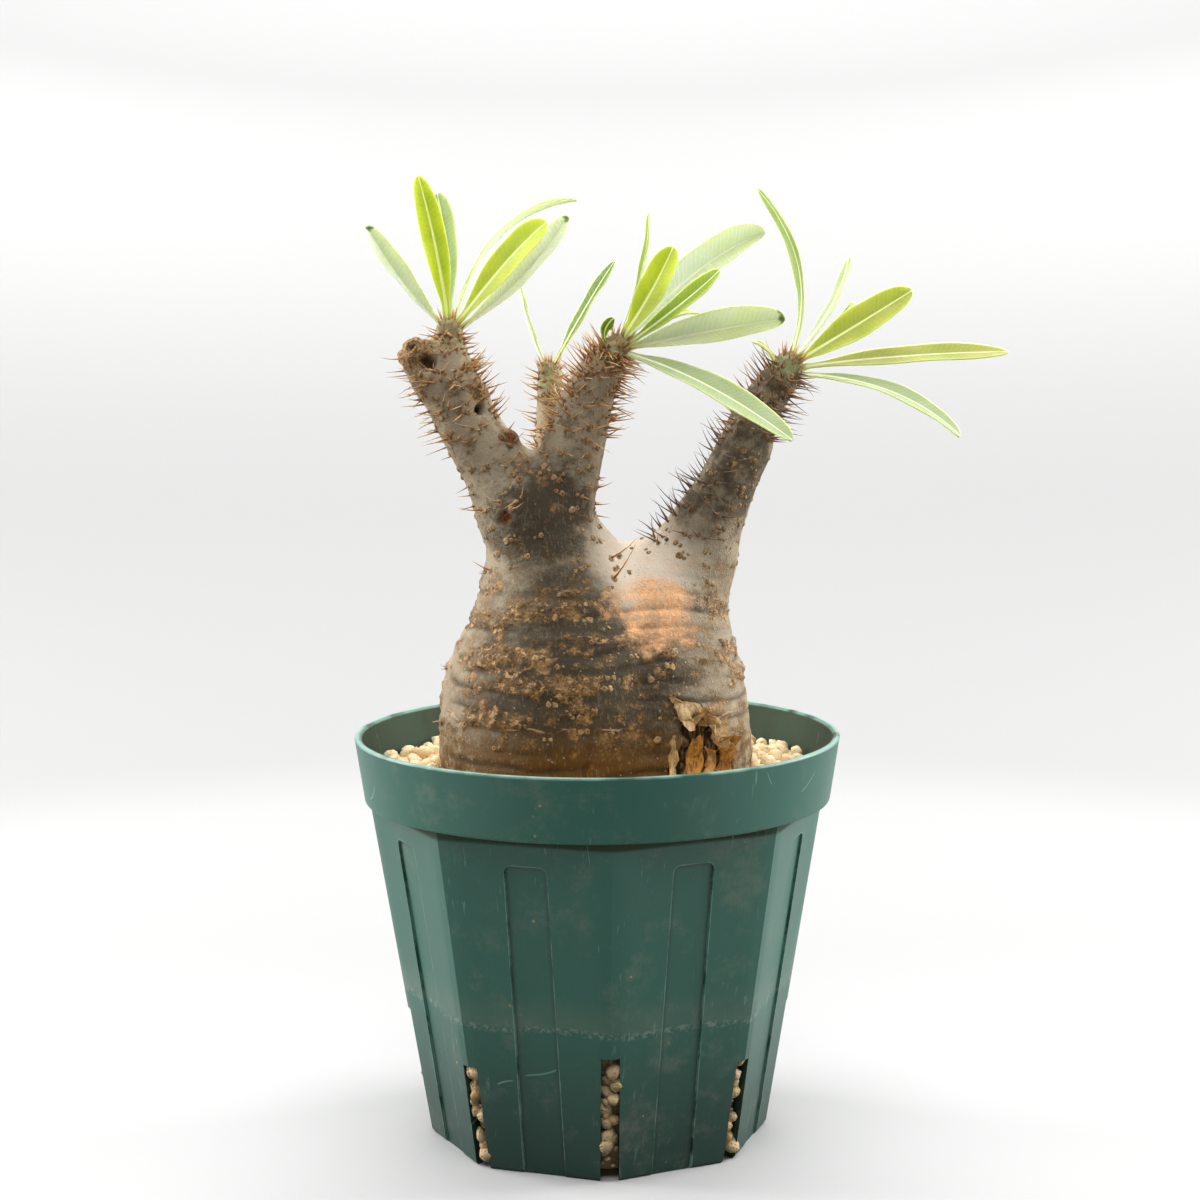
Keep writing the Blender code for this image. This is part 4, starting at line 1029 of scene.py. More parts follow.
def deliver(made, slot, *nodes):
    """Hands a finished piece to the frame."""
    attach(made, ROOT)
    if nodes:
        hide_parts(*nodes)


def tree_of(made):
    shape = bmesh.new()
    shape.from_mesh(made.data)
    tree = BVHTree.FromBMesh(shape)
    shape.free()
    return tree


# Pot


def side_angle():
    return 2 * math.pi / BODY_SIDES


def body_radius(corner_radius, off_corner):
    """Radius of the octagon in a direction that lies this angle away from its front corner."""
    half = side_angle() / 2
    off_corner = off_corner % side_angle()
    radius = corner_radius * math.cos(half) / math.cos(off_corner - half)
    at_corner = min(off_corner, side_angle() - off_corner) < half * 0.01
    return radius - CORNER_SOFTENING if at_corner else radius


def corner_radius_at(height, pot):
    share = height / (pot.height - BAND_HEIGHT)
    return BODY_FOOT_CORNER_RADIUS + share * (BODY_TOP_CORNER_RADIUS - BODY_FOOT_CORNER_RADIUS)


def ring_of(radius_at, height):
    """A ring of points round the axis, whose radius depends on the angle from the front corner."""
    count = BODY_SIDES * POT_COLUMNS_PER_SIDE
    ring = []
    for i in range(count):
        turn = 2 * math.pi * i / count
        angle = BODY_TURN - math.pi / 2 + turn
        radius = radius_at(turn)
        ring.append(Vector((radius * math.cos(angle), radius * math.sin(angle), height)))
    return ring


def octagon(corner_radius, height):
    return ring_of(lambda turn: body_radius(corner_radius, turn), height)


def circle(radius, height):
    return ring_of(lambda turn: radius, height)


def skin_rings(rings):
    """Closed skin over rings that run from the middle of the underside, out, up and in again."""
    count = len(rings[0])
    points = [point for ring in rings for point in ring]
    faces = []
    for row in range(len(rings) - 1):
        for i in range(count):
            a = row * count + i
            b = row * count + (i + 1) % count
            faces.append((a, b, b + count, a + count))
    first = len(points)
    points.append(sum(rings[0], Vector()) / count)
    points.append(sum(rings[-1], Vector()) / count)
    last_row = (len(rings) - 1) * count
    for i in range(count):
        j = (i + 1) % count
        faces.append((first, j, i))
        faces.append((first + 1, last_row + i, last_row + j))
    return points, faces


def box_cutter(centre, size, placing):
    shape = bmesh.new()
    shaped = Matrix.Translation(centre) @ Matrix.Diagonal((*size, 1.0))
    bmesh.ops.create_cube(shape, size=1.0, matrix=shaped)
    mesh = bpy.data.meshes.new("cutter")
    shape.to_mesh(mesh)
    shape.free()
    mesh.transform(placing)
    made = bpy.data.objects.new("cutter", mesh)
    bpy.context.scene.collection.objects.link(made)
    return made


def slit_top(slit):
    return SLIT_SHORT_TOP if slit % 2 else SLIT_LONG_TOP


def slit_cutters():
    cutters = []
    reach = CUTTER_REACH - SLIT_INNER_RADIUS
    for slit in range(BODY_SIDES):
        height = slit_top(slit) + CUTTER_BELOW
        centre = (SLIT_INNER_RADIUS + reach / 2, 0.0, slit_top(slit) - height / 2)
        turn = Matrix.Rotation(-math.pi / 2 + BODY_TURN + slit * side_angle(), 4, "Z")
        cutters.append(box_cutter(centre, (reach, SLIT_WIDTH, height), turn))
    return cutters


def round_upper_corners(made, width):
    """Bevels the two upper edges that run through the panel."""
    shape = bmesh.new()
    shape.from_mesh(made.data)
    top = max(v.co.z for v in shape.verts)
    edges = []
    for edge in shape.edges:
        a, b = edge.verts
        if abs(a.co.y - b.co.y) < width * 0.01 and min(a.co.z, b.co.z) > top - width:
            edges.append(edge)
    bmesh.ops.bevel(shape, geom=edges, offset=width, segments=4, affect="EDGES", profile=0.5)
    shape.to_mesh(made.data)
    shape.free()


def panel_cutters(pot):
    """Each lies along the sloping wall and reaches PANEL_DEPTH into it."""
    half = side_angle() / 2
    foot = corner_radius_at(0.0, pot) * math.cos(half)
    top = corner_radius_at(PANEL_TOP, pot) * math.cos(half)
    lean = math.atan2(top - foot, PANEL_TOP)
    length = PANEL_TOP / math.cos(lean)
    size = (PANEL_CUTTER_THICKNESS, PANEL_WIDTH, length)
    middle = (foot + top) / 2 + (PANEL_CUTTER_THICKNESS / 2 - PANEL_DEPTH) / math.cos(lean)
    cutters = []
    for i in range(BODY_SIDES):
        made = box_cutter((0.0, 0.0, 0.0), size, Matrix.Identity(4))
        round_upper_corners(made, PANEL_CORNER)
        lower_end = min(v.co.z for v in made.data.vertices)
        for vertex in made.data.vertices:
            if vertex.co.z < lower_end + PANEL_CORNER:
                vertex.co.z -= 2 * CUTTER_BELOW
        turn = -math.pi / 2 + BODY_TURN + half + i * side_angle()
        placing = Matrix.Rotation(turn, 4, "Z") @ Matrix.Translation((middle, 0.0, PANEL_TOP / 2))
        made.data.transform(placing @ Matrix.Rotation(lean, 4, "Y"))
        cutters.append(made)
    return cutters


def build_pot(pot):
    band_foot = pot.height - BAND_HEIGHT
    wall_foot = BODY_FOOT_CORNER_RADIUS - pot.body_wall
    inner_top = corner_radius_at(band_foot, pot) - pot.body_wall
    ledge_radius = BAND_FOOT_RADIUS - pot.rim_wall - BAND_INNER_STEP
    rim_inside = pot.rim_radius - pot.rim_wall
    band_lean = (pot.rim_radius - BAND_FOOT_RADIUS) / (BAND_HEIGHT - 2 * EDGE_ROUNDING)
    rings = [
        octagon(BODY_FOOT_CORNER_RADIUS * 0.5, 0.0),
        octagon(BODY_FOOT_CORNER_RADIUS - EDGE_ROUNDING, 0.0),
        octagon(corner_radius_at(FOOT_ROUNDING, pot), FOOT_ROUNDING),
        octagon(corner_radius_at(FOOT_ROUNDING + EDGE_STAY, pot), FOOT_ROUNDING + EDGE_STAY),
        octagon(corner_radius_at(band_foot - EDGE_STAY, pot), band_foot - EDGE_STAY),
        octagon(BODY_TOP_CORNER_RADIUS, band_foot),
        circle(BAND_FOOT_RADIUS - EDGE_ROUNDING, band_foot),
        circle(BAND_FOOT_RADIUS - EDGE_ROUNDING * 0.3, band_foot + EDGE_ROUNDING * 0.3),
        circle(BAND_FOOT_RADIUS, band_foot + EDGE_ROUNDING),
        circle(BAND_FOOT_RADIUS + EDGE_STAY * band_lean, band_foot + EDGE_ROUNDING + EDGE_STAY),
        circle(pot.rim_radius - EDGE_STAY * band_lean, pot.height - EDGE_ROUNDING - EDGE_STAY),
        circle(pot.rim_radius, pot.height - EDGE_ROUNDING),
        circle(pot.rim_radius - EDGE_ROUNDING * 0.3, pot.height - EDGE_ROUNDING * 0.3),
        circle(pot.rim_radius - EDGE_ROUNDING, pot.height),
        circle(rim_inside + EDGE_ROUNDING, pot.height),
        circle(rim_inside, pot.height - EDGE_ROUNDING),
        circle(rim_inside - EDGE_STAY * band_lean, pot.height - EDGE_ROUNDING - EDGE_STAY),
        circle(ledge_radius, band_foot + INNER_LEDGE_RISE),
        octagon(inner_top, band_foot - INNER_LEDGE_DROP),
        octagon(wall_foot, FLOOR_THICKNESS),
        octagon(wall_foot * 0.5, FLOOR_THICKNESS),
    ]
    made = mesh_object("pot_shell", *skin_rings(rings), plastic_finish(pot))
    cut_away(made, slit_cutters() + panel_cutters(pot))
    soft = made.modifiers.new("soft edges", "BEVEL")
    soft.width = SLIT_EDGE_ROUNDING
    soft.segments = 2
    soft.limit_method = "ANGLE"
    soft.angle_limit = SOFT_EDGE_ANGLE
    apply_modifiers(made)
    shade(made, POT_SHARP_ANGLE)
    flat = made.modifiers.new("flat faces", "WEIGHTED_NORMAL")
    flat.keep_sharp = True
    flat.weight = 100
    apply_modifiers(made)
    deliver(made, "pot_plastic", "pot")


# Form of the plant


def smooth_chain(stations):
    """Points and radii in metres along a smooth curve through the stations."""
    rows = np.array(stations) * MM
    ends = np.vstack([2 * rows[0] - rows[1], rows, 2 * rows[-1] - rows[-2]])
    chain = []
    for i in range(1, len(ends) - 2):
        before, here, after, beyond = ends[i - 1 : i + 3]
        for t in np.arange(STATION_STEPS) / STATION_STEPS:
            linear = (after - before) * t
            square = (2 * before - 5 * here + 4 * after - beyond) * t**2
            cube = (3 * here - before - 3 * after + beyond) * t**3
            chain.append(0.5 * (2 * here + linear + square + cube))
    chain.append(rows[-1])
    return np.array(chain)


def limb_field(points, chain):
    """Distance to the skin of one limb, and the way out from its axis."""
    nearest = np.full(len(points), np.inf)
    outward = np.zeros_like(points)
    for start, end in zip(chain[:-1], chain[1:]):
        along = end[:3] - start[:3]
        share = np.clip(((points - start[:3]) @ along) / (along @ along), 0.0, 1.0)
        away = points - start[:3] - share[:, None] * along
        length = np.linalg.norm(away, axis=1)
        distance = length - (start[3] + share * (end[3] - start[3]))
        closer = distance < nearest
        nearest[closer] = distance[closer]
        outward[closer] = away[closer] / length[closer, None]
    return nearest, outward


def plant_field(points, chains):
    """Distance to the skin of the whole plant, with soft webs where limbs meet, and the way out."""
    total = np.full(len(points), SMALLEST_SUM)
    outward = np.zeros_like(points)
    for chain in chains:
        distance, direction = limb_field(points, chain)
        weight = np.exp(-distance / FORK_BLEND)
        total += weight
        outward += direction * weight[:, None]
    outward /= np.maximum(np.linalg.norm(outward, axis=1), SMALLEST_SUM)[:, None]
    return -FORK_BLEND * np.log(total), outward


def rough_body(chains, voxel):
    """Overlapping balls along every limb, grown into one skin by a voxel remesh."""
    shape = bmesh.new()
    for chain in chains:
        for x, y, z, radius in chain:
            place = Matrix.Translation((x, y, z))
            bmesh.ops.create_icosphere(shape, subdivisions=3, radius=radius, matrix=place)
    mesh = bpy.data.meshes.new("stem_skin")
    shape.to_mesh(mesh)
    shape.free()
    body = bpy.data.objects.new("stem_skin", mesh)
    bpy.context.scene.collection.objects.link(body)
    grown = body.modifiers.new("grown together", "REMESH")
    grown.mode = "VOXEL"
    grown.voxel_size = voxel
    apply_modifiers(body)
    return body


def soft_step(value, low, high):
    share = np.clip((value - low) / (high - low), 0.0, 1.0)
    return share * share * (3 - 2 * share)


def noise_at(points, x, y, z, shift=0.0):
    """Smooth noise in about -1 to 1, with its own frequency per millimetre on each axis."""
    rows = points / MM * np.array([x, y, z]) + shift
    return np.array([noise.noise(row) for row in rows.tolist()])


def near_mark(points, mark, softness):
    centre, reach = mark
    distance = np.linalg.norm(points / MM - np.array(centre), axis=1)
    return 1 - soft_step(distance, reach * (1 - softness), reach * (1 + softness))


def near_marks(points, *marks):
    """How close a point is to the nearest of some marks, each given with its softness."""
    return np.max([near_mark(points, mark, softness) for mark, softness in marks], axis=0)


def peel_mask(points):
    """The ragged wedge low on the right where the bark has come away."""
    x, y, z = (points / MM).T
    drop = np.clip((PEEL_TOP - z) / (PEEL_TOP - PEEL_FOOT), 0.0, 1.0)
    top_width, foot_width = PEEL_HALF_WIDTH
    half = top_width + (foot_width - top_width) * drop
    ragged = noise_at(points, 0.5, 0.5, 0.35, 7.0) * PEEL_RAGGED
    inner, outer = PEEL_EDGE
    side = 1 - soft_step(np.abs(x - PEEL_CENTRE - drop) + ragged, half + inner, half + outer)
    return side * soft_step(PEEL_TOP - z, 0.0, 1.0) * (y < 0)


def creases(points):
    """Narrow level creases between soft rolls, broken up round the stem: 1 at the bottom of one."""
    z = points[:, 2] / MM
    wide, narrow = CREASE_BENDS
    bend = noise_at(points, 0.045, 0.045, 0.03, 21.0) * wide + noise_at(points, 0.2, 0.2, 0.1, 4.0) * narrow
    wave = np.abs(np.cos(np.pi * (z + bend) / CREASE_SPACING))
    broken = soft_step(noise_at(points, 0.05, 0.05, 0.16, 31.0), -0.15, 0.30)
    return wave**CREASE_SHARPNESS * broken


def ridged_mask(points):
    """Where the stem is ridged, from near the soil up to the smooth shoots."""
    z = points[:, 2] / MM
    return (1 - soft_step(z, *RIDGES_UPPER_END)) * soft_step(z, *RIDGES_LOWER_END)


def young_mask(points):
    """How close a point is to the green end of a shoot."""
    green = np.zeros(len(points))
    for limb in CROWNS:
        distance = np.linalg.norm(points / MM - np.array(limb[-1][:3]), axis=1)
        green = np.maximum(green, 1 - soft_step(distance, *GREEN_END))
    return green


def bark_masks(points):
    """Where the bark has each of its marks, from 0 to 1."""
    z = points[:, 2] / MM
    ridged = ridged_mask(points)
    clusters = noise_at(points, 0.07, 0.07, 0.24, 12.0) + 0.4 * noise_at(points, 0.3, 0.3, 0.7, 1.0)
    crust = soft_step(clusters, 0.02, 0.30) * ridged * soft_step(z, *CRUST_LOWER_END)
    blush = near_mark(points, BLUSH_PATCH, VERY_SOFT)
    smooth = near_mark(points, SMOOTH_SADDLE, SOFT)
    dark = [near_mark(points, mark, VERY_SOFT) * strength for mark, strength in PAINTED_SHADE_PLACES]
    return {
        "cork": crust * (1 - np.minimum(1.0, blush * BLUSH_CLEARING)),
        "wood": near_marks(points, (STUB_RIM, FIRM), (BUD_LENS, CLEAR)),
        "crease": creases(points) * ridged,
        "peel": peel_mask(points),
        "cavity": near_marks(points, (STUB_CAVITY, FIRM), (STUB_HOLE, CRISP), (BUD_HOLE, CRISP)),
        "rust": near_marks(points, (OVAL_SCAR, HARD), (RED_BUD, BLURRED)),
        "blush": blush,
        # Painted shade on the front of the stem, kept off the smooth saddle.
        "aged": np.max(dark, axis=0) * (1 - smooth),
        "smooth": smooth,
        "young": young_mask(points),
    }


def bark_relief(points, masks):
    """How far the bark stands out, in metres."""
    rings = noise_at(points, 0.05, 0.05, 0.42)
    lumps = noise_at(points, 0.11, 0.11, 0.11, 9.0)
    grain = noise_at(points, 0.75, 0.75, 0.75, 5.0)
    relief = lumps * LUMP_RISE + grain * GRAIN_RISE * (1 - masks["smooth"] * SMOOTHING)
    relief += ridged_mask(points) * rings * RIDGE_RISE - masks["crease"] * CREASE_DEPTH
    relief += masks["cork"] * (CRUST_RISE + np.maximum(grain, 0.0) * CRUST_GRAIN_RISE)
    relief += grain * (masks["wood"] * WOOD_GRAIN_RISE + masks["young"] * YOUNG_GRAIN_RISE)
    relief -= masks["peel"] * (PEEL_DEPTH - grain * RAW_GRAIN_RISE)
    relief -= masks["cavity"] * (CAVITY_DEPTH + grain * RAW_GRAIN_RISE)
    relief -= near_mark(points, OVAL_SCAR, CLEAR) * SCAR_DEPTH
    return relief * MM


def vertex_points(made):
    points = np.empty(len(made.data.vertices) * 3)
    made.data.vertices.foreach_get("co", points)
    return points.reshape(-1, 3)


def build_stem(stem, chains):
    made = rough_body(chains, stem.voxel)
    points = vertex_points(made)
    for _ in range(SETTLE_ROUNDS):
        distance, outward = plant_field(points, chains)
        points = points - outward * distance[:, None]
    masks = bark_masks(points)
    points = points + outward * bark_relief(points, masks)[:, None]
    points[:, 2] = np.maximum(points[:, 2], STEM_FOOT)
    made.data.vertices.foreach_set("co", points.ravel())
    made.data.update()
    made.data.materials.clear()
    made.data.materials.append(bark_finish(stem))
    keep_values(made, **masks)
    shade(made)
    deliver(made, "bark", "caudex")
    return made


# Spines


def place_on_chain(chain, share):
    place = share * (len(chain) - 1)
    i = min(int(place), len(chain) - 2)
    start = Vector(chain[i][:3])
    end = Vector(chain[i + 1][:3])
    return start.lerp(end, place - i), (end - start).normalized()


class Heap:
    """Points, faces and per-point values of many small pieces that become one mesh."""

    def __init__(self, *names):
        self.points = []
        self.faces = []
        self.values = {name: [] for name in names}

    def add(self, points, faces, **values):
        start = len(self.points)
        self.points += points
        self.faces += [tuple(i + start for i in face) for face in faces]
        for name, numbers in values.items():
            self.values[name] += numbers

    def object(self, name, material, sharp_angle=None):
        made = mesh_object(name, self.points, self.faces, material)
        keep_values(made, **self.values)
        shade(made, sharp_angle)
        return made


def turned(profile_rings, sides, centre, axis):
    """Rings of points about an axis, given as radius and height along it."""
    aside = axis.orthogonal().normalized()
    across = axis.cross(aside)
    points = []
    for radius, height in profile_rings:
        for i in range(sides):
            angle = 2 * math.pi * i / sides
            outward = aside * math.cos(angle) + across * math.sin(angle)
            points.append(centre + axis * height + outward * radius)
    return points


def ring_faces(rows, sides):
    faces = []
    for row in range(rows - 1):
        for i in range(sides):
            a = row * sides + i
            b = row * sides + (i + 1) % sides
            faces.append((a, b, b + sides, a + sides))
    return faces


def add_spine(heap, root, direction, bend, length, grey, curl=SPINE_CURL):
    """A slender curved spine, thickened at its root."""
    aside = direction.orthogonal().normalized()
    across = direction.cross(aside)
    points = []
    along = []
    for k in range(SPINE_RINGS):
        share = k / SPINE_RINGS
        centre = root + direction * (length * share - SPINE_SINK) + bend * length * curl * share**2
        left = 1 - share
        radius = SPINE_ROOT_RADIUS * (SPINE_TAPER * left + SPINE_SWELLING * left**4 + SPINE_POINT)
        for i in range(SPINE_SIDES):
            angle = 2 * math.pi * i / SPINE_SIDES
            points.append(centre + (aside * math.cos(angle) + across * math.sin(angle)) * radius)
            along.append(share)
    points.append(root + direction * (length - SPINE_SINK) + bend * length * curl)
    along.append(1.0)
    faces = ring_faces(SPINE_RINGS, SPINE_SIDES)
    last = (SPINE_RINGS - 1) * SPINE_SIDES
    for i in range(SPINE_SIDES):
        faces.append((last + i, last + (i + 1) % SPINE_SIDES, len(points) - 1))
    heap.add(points, faces, along=along, grey=[grey] * len(points))


def add_cushion(heap, root, axis, size, rng):
    """The small crater-topped cushion that a spine grows from, never quite round."""
    rings = [(radius * size * MM, height * size * MM) for radius, height in CUSHION_PROFILE]
    points = turned(rings, CUSHION_SIDES, root, axis)
    points = [root + (point - root) * rng.uniform(*CUSHION_WOBBLE) for point in points]
    rise = [k / (len(rings) - 1) for k in range(len(rings)) for _ in range(CUSHION_SIDES)]
    faces = ring_faces(len(rings), CUSHION_SIDES)
    last = (len(rings) - 1) * CUSHION_SIDES
    faces.append(tuple(last + i for i in range(CUSHION_SIDES)))
    heap.add(points, faces, along=rise, tone=[rng.random()] * len(points))


def near_blade(root, tip, samples):
    """Whether a spine would touch a blade, from places along it."""
    for share in SPINE_PROBES:
        point = root.lerp(tip, share)
        for centre, half_width in samples:
            if (point - centre).length < half_width * SPINE_TO_BLADE:
                return True
    return False


def add_crown(heap, tree, chain, rng):
    """Short bristles round the top of a shoot, between the feet of its leaves."""
    end, axis = place_on_chain(chain, 1.0)
    aside = axis.orthogonal().normalized()
    for i in range(CROWN_BRISTLES):
        lean = Matrix.Rotation(rng.uniform(*BRISTLE_LEAN_DRAW), 3, aside)
        way = Matrix.Rotation(i * GOLDEN_ANGLE, 3, axis) @ (lean @ axis)
        hit, _, _, _ = tree.ray_cast(end + way * STALK_RAY_START, -way)
        if hit is not None:
            direction = (way + axis * rng.uniform(*BRISTLE_LIFT_DRAW)).normalized()
            length = rng.uniform(*BRISTLE_LENGTHS)
            add_spine(heap, hit, direction, axis, length, rng.uniform(*BRISTLE_GREY_DRAW))


def in_bare_mark(place):
    return any((place / MM - Vector(centre)).length < reach for centre, reach in BARE_MARKS)


def add_pair(spines, cushions, place, row, samples, rng):
    """Two cushions side by side, and their spines where the pair still has them."""
    hit, normal, outward, axis = place
    length, present, grey, leftward = row
    sidedness = min(1.0, max(FEWEST_ON_RIGHT, LEFT_OVER_RIGHT - outward.x))
    kept = rng.random() < present * (1 - leftward + leftward * sidedness)
    own_grey = min(1.0, max(0.0, grey + rng.uniform(*GREY_DRAW)))
    for side in (-1, 1):
        spread = Matrix.Rotation(side * rng.uniform(*SPREAD_DRAW), 3, axis)
        lift = axis * rng.uniform(*LIFT_DRAW)
        direction = (spread @ (normal * SPINE_SQUARENESS + outward) + lift).normalized()
        own_length = length * MM * rng.uniform(*LENGTH_DRAW)
        aside = axis.cross(outward) * side
        root = hit + aside * PAIR_HALF_GAP
        bend = aside * rng.uniform(*BEND_ASIDE_DRAW) + axis * rng.uniform(*BEND_ALONG_DRAW)
        size = rng.uniform(*CUSHION_SIZES) * (CUSHION_UNDER_SPINE if kept or leftward else 1.0)
        add_cushion(cushions, root, (normal + aside * CUSHION_LEAN).normalized(), size, rng)
        if kept and not near_blade(root, root + direction * own_length, samples):
            curl = rng.uniform(*CURL_DRAW)
            add_spine(spines, root, direction, bend.normalized(), own_length, own_grey, curl)


def build_spines(stem, skin, samples):
    rng = random.Random(stem.seed)
    tree = tree_of(skin)
    spines = Heap("along", "grey")
    cushions = Heap("along", "tone")
    for stations, first, last, pairs, *row in SPINE_ROWS:
        chain = smooth_chain(stations)
        for i in range(pairs):
            share = first + (last - first) * (i + rng.uniform(*PLACE_DRAW)) / pairs
            centre, axis = place_on_chain(chain, min(1.0, max(0.0, share)))
            turn = i * GOLDEN_ANGLE + rng.uniform(*TURN_DRAW)
            outward = Matrix.Rotation(turn, 3, axis) @ axis.orthogonal().normalized()
            hit, normal, _, _ = tree.ray_cast(centre, outward)
            if hit is None or hit.z < LOWEST_SPINE or (hit - centre).length > FARTHEST_SPINE:
                continue
            if not in_bare_mark(hit):
                add_pair(spines, cushions, (hit, normal, outward, axis), row, samples, rng)
    for stations in CROWNS:
        add_crown(spines, tree, smooth_chain(stations), rng)
    for root, tip in SINGLE_SPINES:
        hit, normal, _, _ = tree.find_nearest(Vector(root) * MM)
        reach = Vector(tip) * MM - hit
        add_cushion(cushions, hit, normal, CUSHION_SIZES[1], rng)
        add_spine(spines, hit, reach.normalized(), UP, reach.length, SINGLE_SPINE_GREY)
    deliver(spines.object("spines", spine_finish(stem)), "bark")
    deliver(cushions.object("spine_cushions", cushion_finish()), "bark")


def sheet_faces(rows, columns):
    """Faces of a closed sheet: its one side, its other side and the rim between them."""
    sheet = rows * columns
    faces = []
    for row in range(rows - 1):
        for a in range(row * columns, row * columns + columns - 1):
            b = a + columns
            faces.append((a, a + 1, b + 1, b))
            faces.append((a + sheet, b + sheet, b + 1 + sheet, a + 1 + sheet))
    rim = [(i, i + 1) for row in (0, sheet - columns) for i in range(row, row + columns - 1)]
    rim += [(i, i + columns) for side in (0, columns - 1) for i in range(side, sheet - columns, columns)]
    faces += [(a, b, b + sheet, a + sheet) for a, b in rim]
    return faces


def add_flake(heap, tree, corners, curl, amber):
    """A thin piece of loose bark whose corners lie over the skin and whose free end curls out."""
    free_left, free_right, fixed_right, fixed_left = [
        Vector((x, FLAKE_RAY_START, z)) * MM for x, z in corners
    ]
    points = []
    for side in (0.0, FLAKE_THICKNESS):
        for row in range(FLAKE_STEPS + 1):
            v = row / FLAKE_STEPS
            for column in range(FLAKE_STEPS + 1):
                u = column / FLAKE_STEPS
                free = free_left.lerp(free_right, u)
                start = free.lerp(fixed_left.lerp(fixed_right, u), v)
                hit, normal, _, _ = tree.ray_cast(start, Vector((0, 1, 0)))
                crumple = noise.noise(start / MM * FLAKE_CRUMPLES_PER_MM) * FLAKE_CRUMPLE
                ragged = noise.noise(start / MM * FLAKE_TEARS_PER_MM) * FLAKE_RAGGED * abs(2 * u - 1)
                lift = FLAKE_LIFT + curl * MM * (1 - v) ** 2 + crumple + side
                points.append(hit + normal * lift + Vector((ragged, 0, ragged * 0.8)))
    faces = sheet_faces(FLAKE_STEPS + 1, FLAKE_STEPS + 1)
    heap.add(points, faces, amber=[amber] * len(points))


def build_flakes(skin):
    tree = tree_of(skin)
    heap = Heap("amber")
    for corners, curl, amber in FLAKES:
        add_flake(heap, tree, corners, curl, amber)
    made = heap.object("loose_bark", loose_bark_finish())
    face_outwards(made)
    shade(made, FLAKE_SHARP_ANGLE)
    deliver(made, "bark")


# Leaves


def blade_half_width(share, width):
    """Widest a little past the middle, with a rounded tip and a narrow stalk."""
    widening = math.sin(math.pi / 2 * min(1.0, share / BLADE_WIDEST))
    rounding = max(0.0, (share - BLADE_WIDEST) / (1 - BLADE_WIDEST)) ** BLADE_TIP_POWER
    stalk = STALK_HALF_WIDTH * (1.0 - STALK_TAPER * share)
    return max(stalk, width / 2 * widening * math.sqrt(max(0.0, 1 - rounding)))


def curve_point(base, bend, tip, share):
    return base * (1 - share) ** 2 + bend * 2 * share * (1 - share) + tip * share**2


def curve_direction(base, bend, tip, share):
    return ((bend - base) * (1 - share) + (tip - bend) * share).normalized()


def bend_through(base, middle, tip):
    return middle * 2 - (base + tip) / 2


def leaf_curve(tree, limb, below_end, middle, tip):
    """Foot, bend and tip of a leaf's midrib in metres, with the foot just under the skin."""
    chain = smooth_chain(limb)
    end = Vector(chain[-1][:3])
    axis = (end - Vector(chain[-2][:3])).normalized()
    heart = end - axis * below_end * MM
    middle = Vector(middle) * MM
    tip = Vector(tip) * MM
    aim = (bend_through(heart, middle, tip) - heart).normalized()
    hit, _, _, _ = tree.ray_cast(heart + aim * STALK_RAY_START, -aim)
    foot = (hit or heart) - aim * STALK_SINK
    return foot, bend_through(foot, middle, tip), tip


def blade_columns(half_width):
    """Places across the blade, from one margin to the other, with the rib in the middle."""
    rib = min(WIDEST_RIB, RIB_HALF_WIDTH / half_width)
    outer = [max(column, rib + RIB_TO_COLUMN) for column in BLADE_COLUMNS]
    return [-column for column in reversed(outer)] + [-rib, 0.0, rib] + outer


def blade_points(leaf, curve, width, face, phase):
    """Upper side, under side and measures of a folded blade with wavy margins."""
    foot, bend, tip = curve
    length = (bend - foot).length + (tip - bend).length
    tops = []
    bottoms = []
    values = {"across": [], "along": [], "edge": [], "vein": []}
    for k in range(BLADE_STATIONS + 1):
        share = 1 - (1 - k / BLADE_STATIONS) ** CLOSER_TO_TIP
        centre = curve_point(foot, bend, tip, share)
        direction = curve_direction(foot, bend, tip, share)
        up = (face - direction * face.dot(direction)).normalized()
        aside = direction.cross(up)
        half = blade_half_width(share, width)
        flat = min(1.0, half / (width / 2))
        for column in blade_columns(half):
            turn = math.tau * WAVES * share + phase + (WAVE_LAG if column > 0 else 0.0)
            wave = leaf.wave * flat * column**2 * math.sin(turn)
            rise = half * math.sin(BLADE_FOLD) * abs(column) ** FOLD_ROUNDING + wave
            out = half * math.cos(BLADE_FOLD) * column
            thick = leaf.thickness * (1 - (1 - MARGIN_SHARE) * abs(column))
            rib = RIB_RISE * flat * (1 - share) if column == 0 else 0.0
            middle = centre + aside * out + up * rise
            tops.append(middle + up * (thick / 2 - rib * 0.5))
            bottoms.append(middle - up * (thick / 2 + rib))
            values["across"].append(column * half / MM)
            values["along"].append(share)
            values["edge"].append(abs(column))
            values["vein"].append((length * share - VEIN_SLANT * abs(column) * half) / MM)
    return tops, bottoms, values


def build_leaf(name, material, tops, bottoms, values):
    faces = sheet_faces(BLADE_STATIONS + 1, len(tops) // (BLADE_STATIONS + 1))
    made = mesh_object(name.replace("leaf", "blade"), tops + bottoms, faces, material)
    both_sides = {key: numbers * 2 for key, numbers in values.items()}
    under = [0.0] * len(tops) + [1.0] * len(bottoms)
    dry = [float(name in DRY_TIPS)] * len(under)
    keep_values(made, under=under, dry=dry, **both_sides)
    face_outwards(made)
    shade(made, LEAF_SHARP_ANGLE)
    return made


def each_leaf():
    """Node name, limb and row of every leaf."""
    for start, (limb, rows) in LEAVES.items():
        for number, row in enumerate(rows, 1):
            yield f"{start}_{number}", limb, row


def leaf_curves(tree):
    return {name: leaf_curve(tree, limb, *row[:3]) for name, limb, row in each_leaf()}


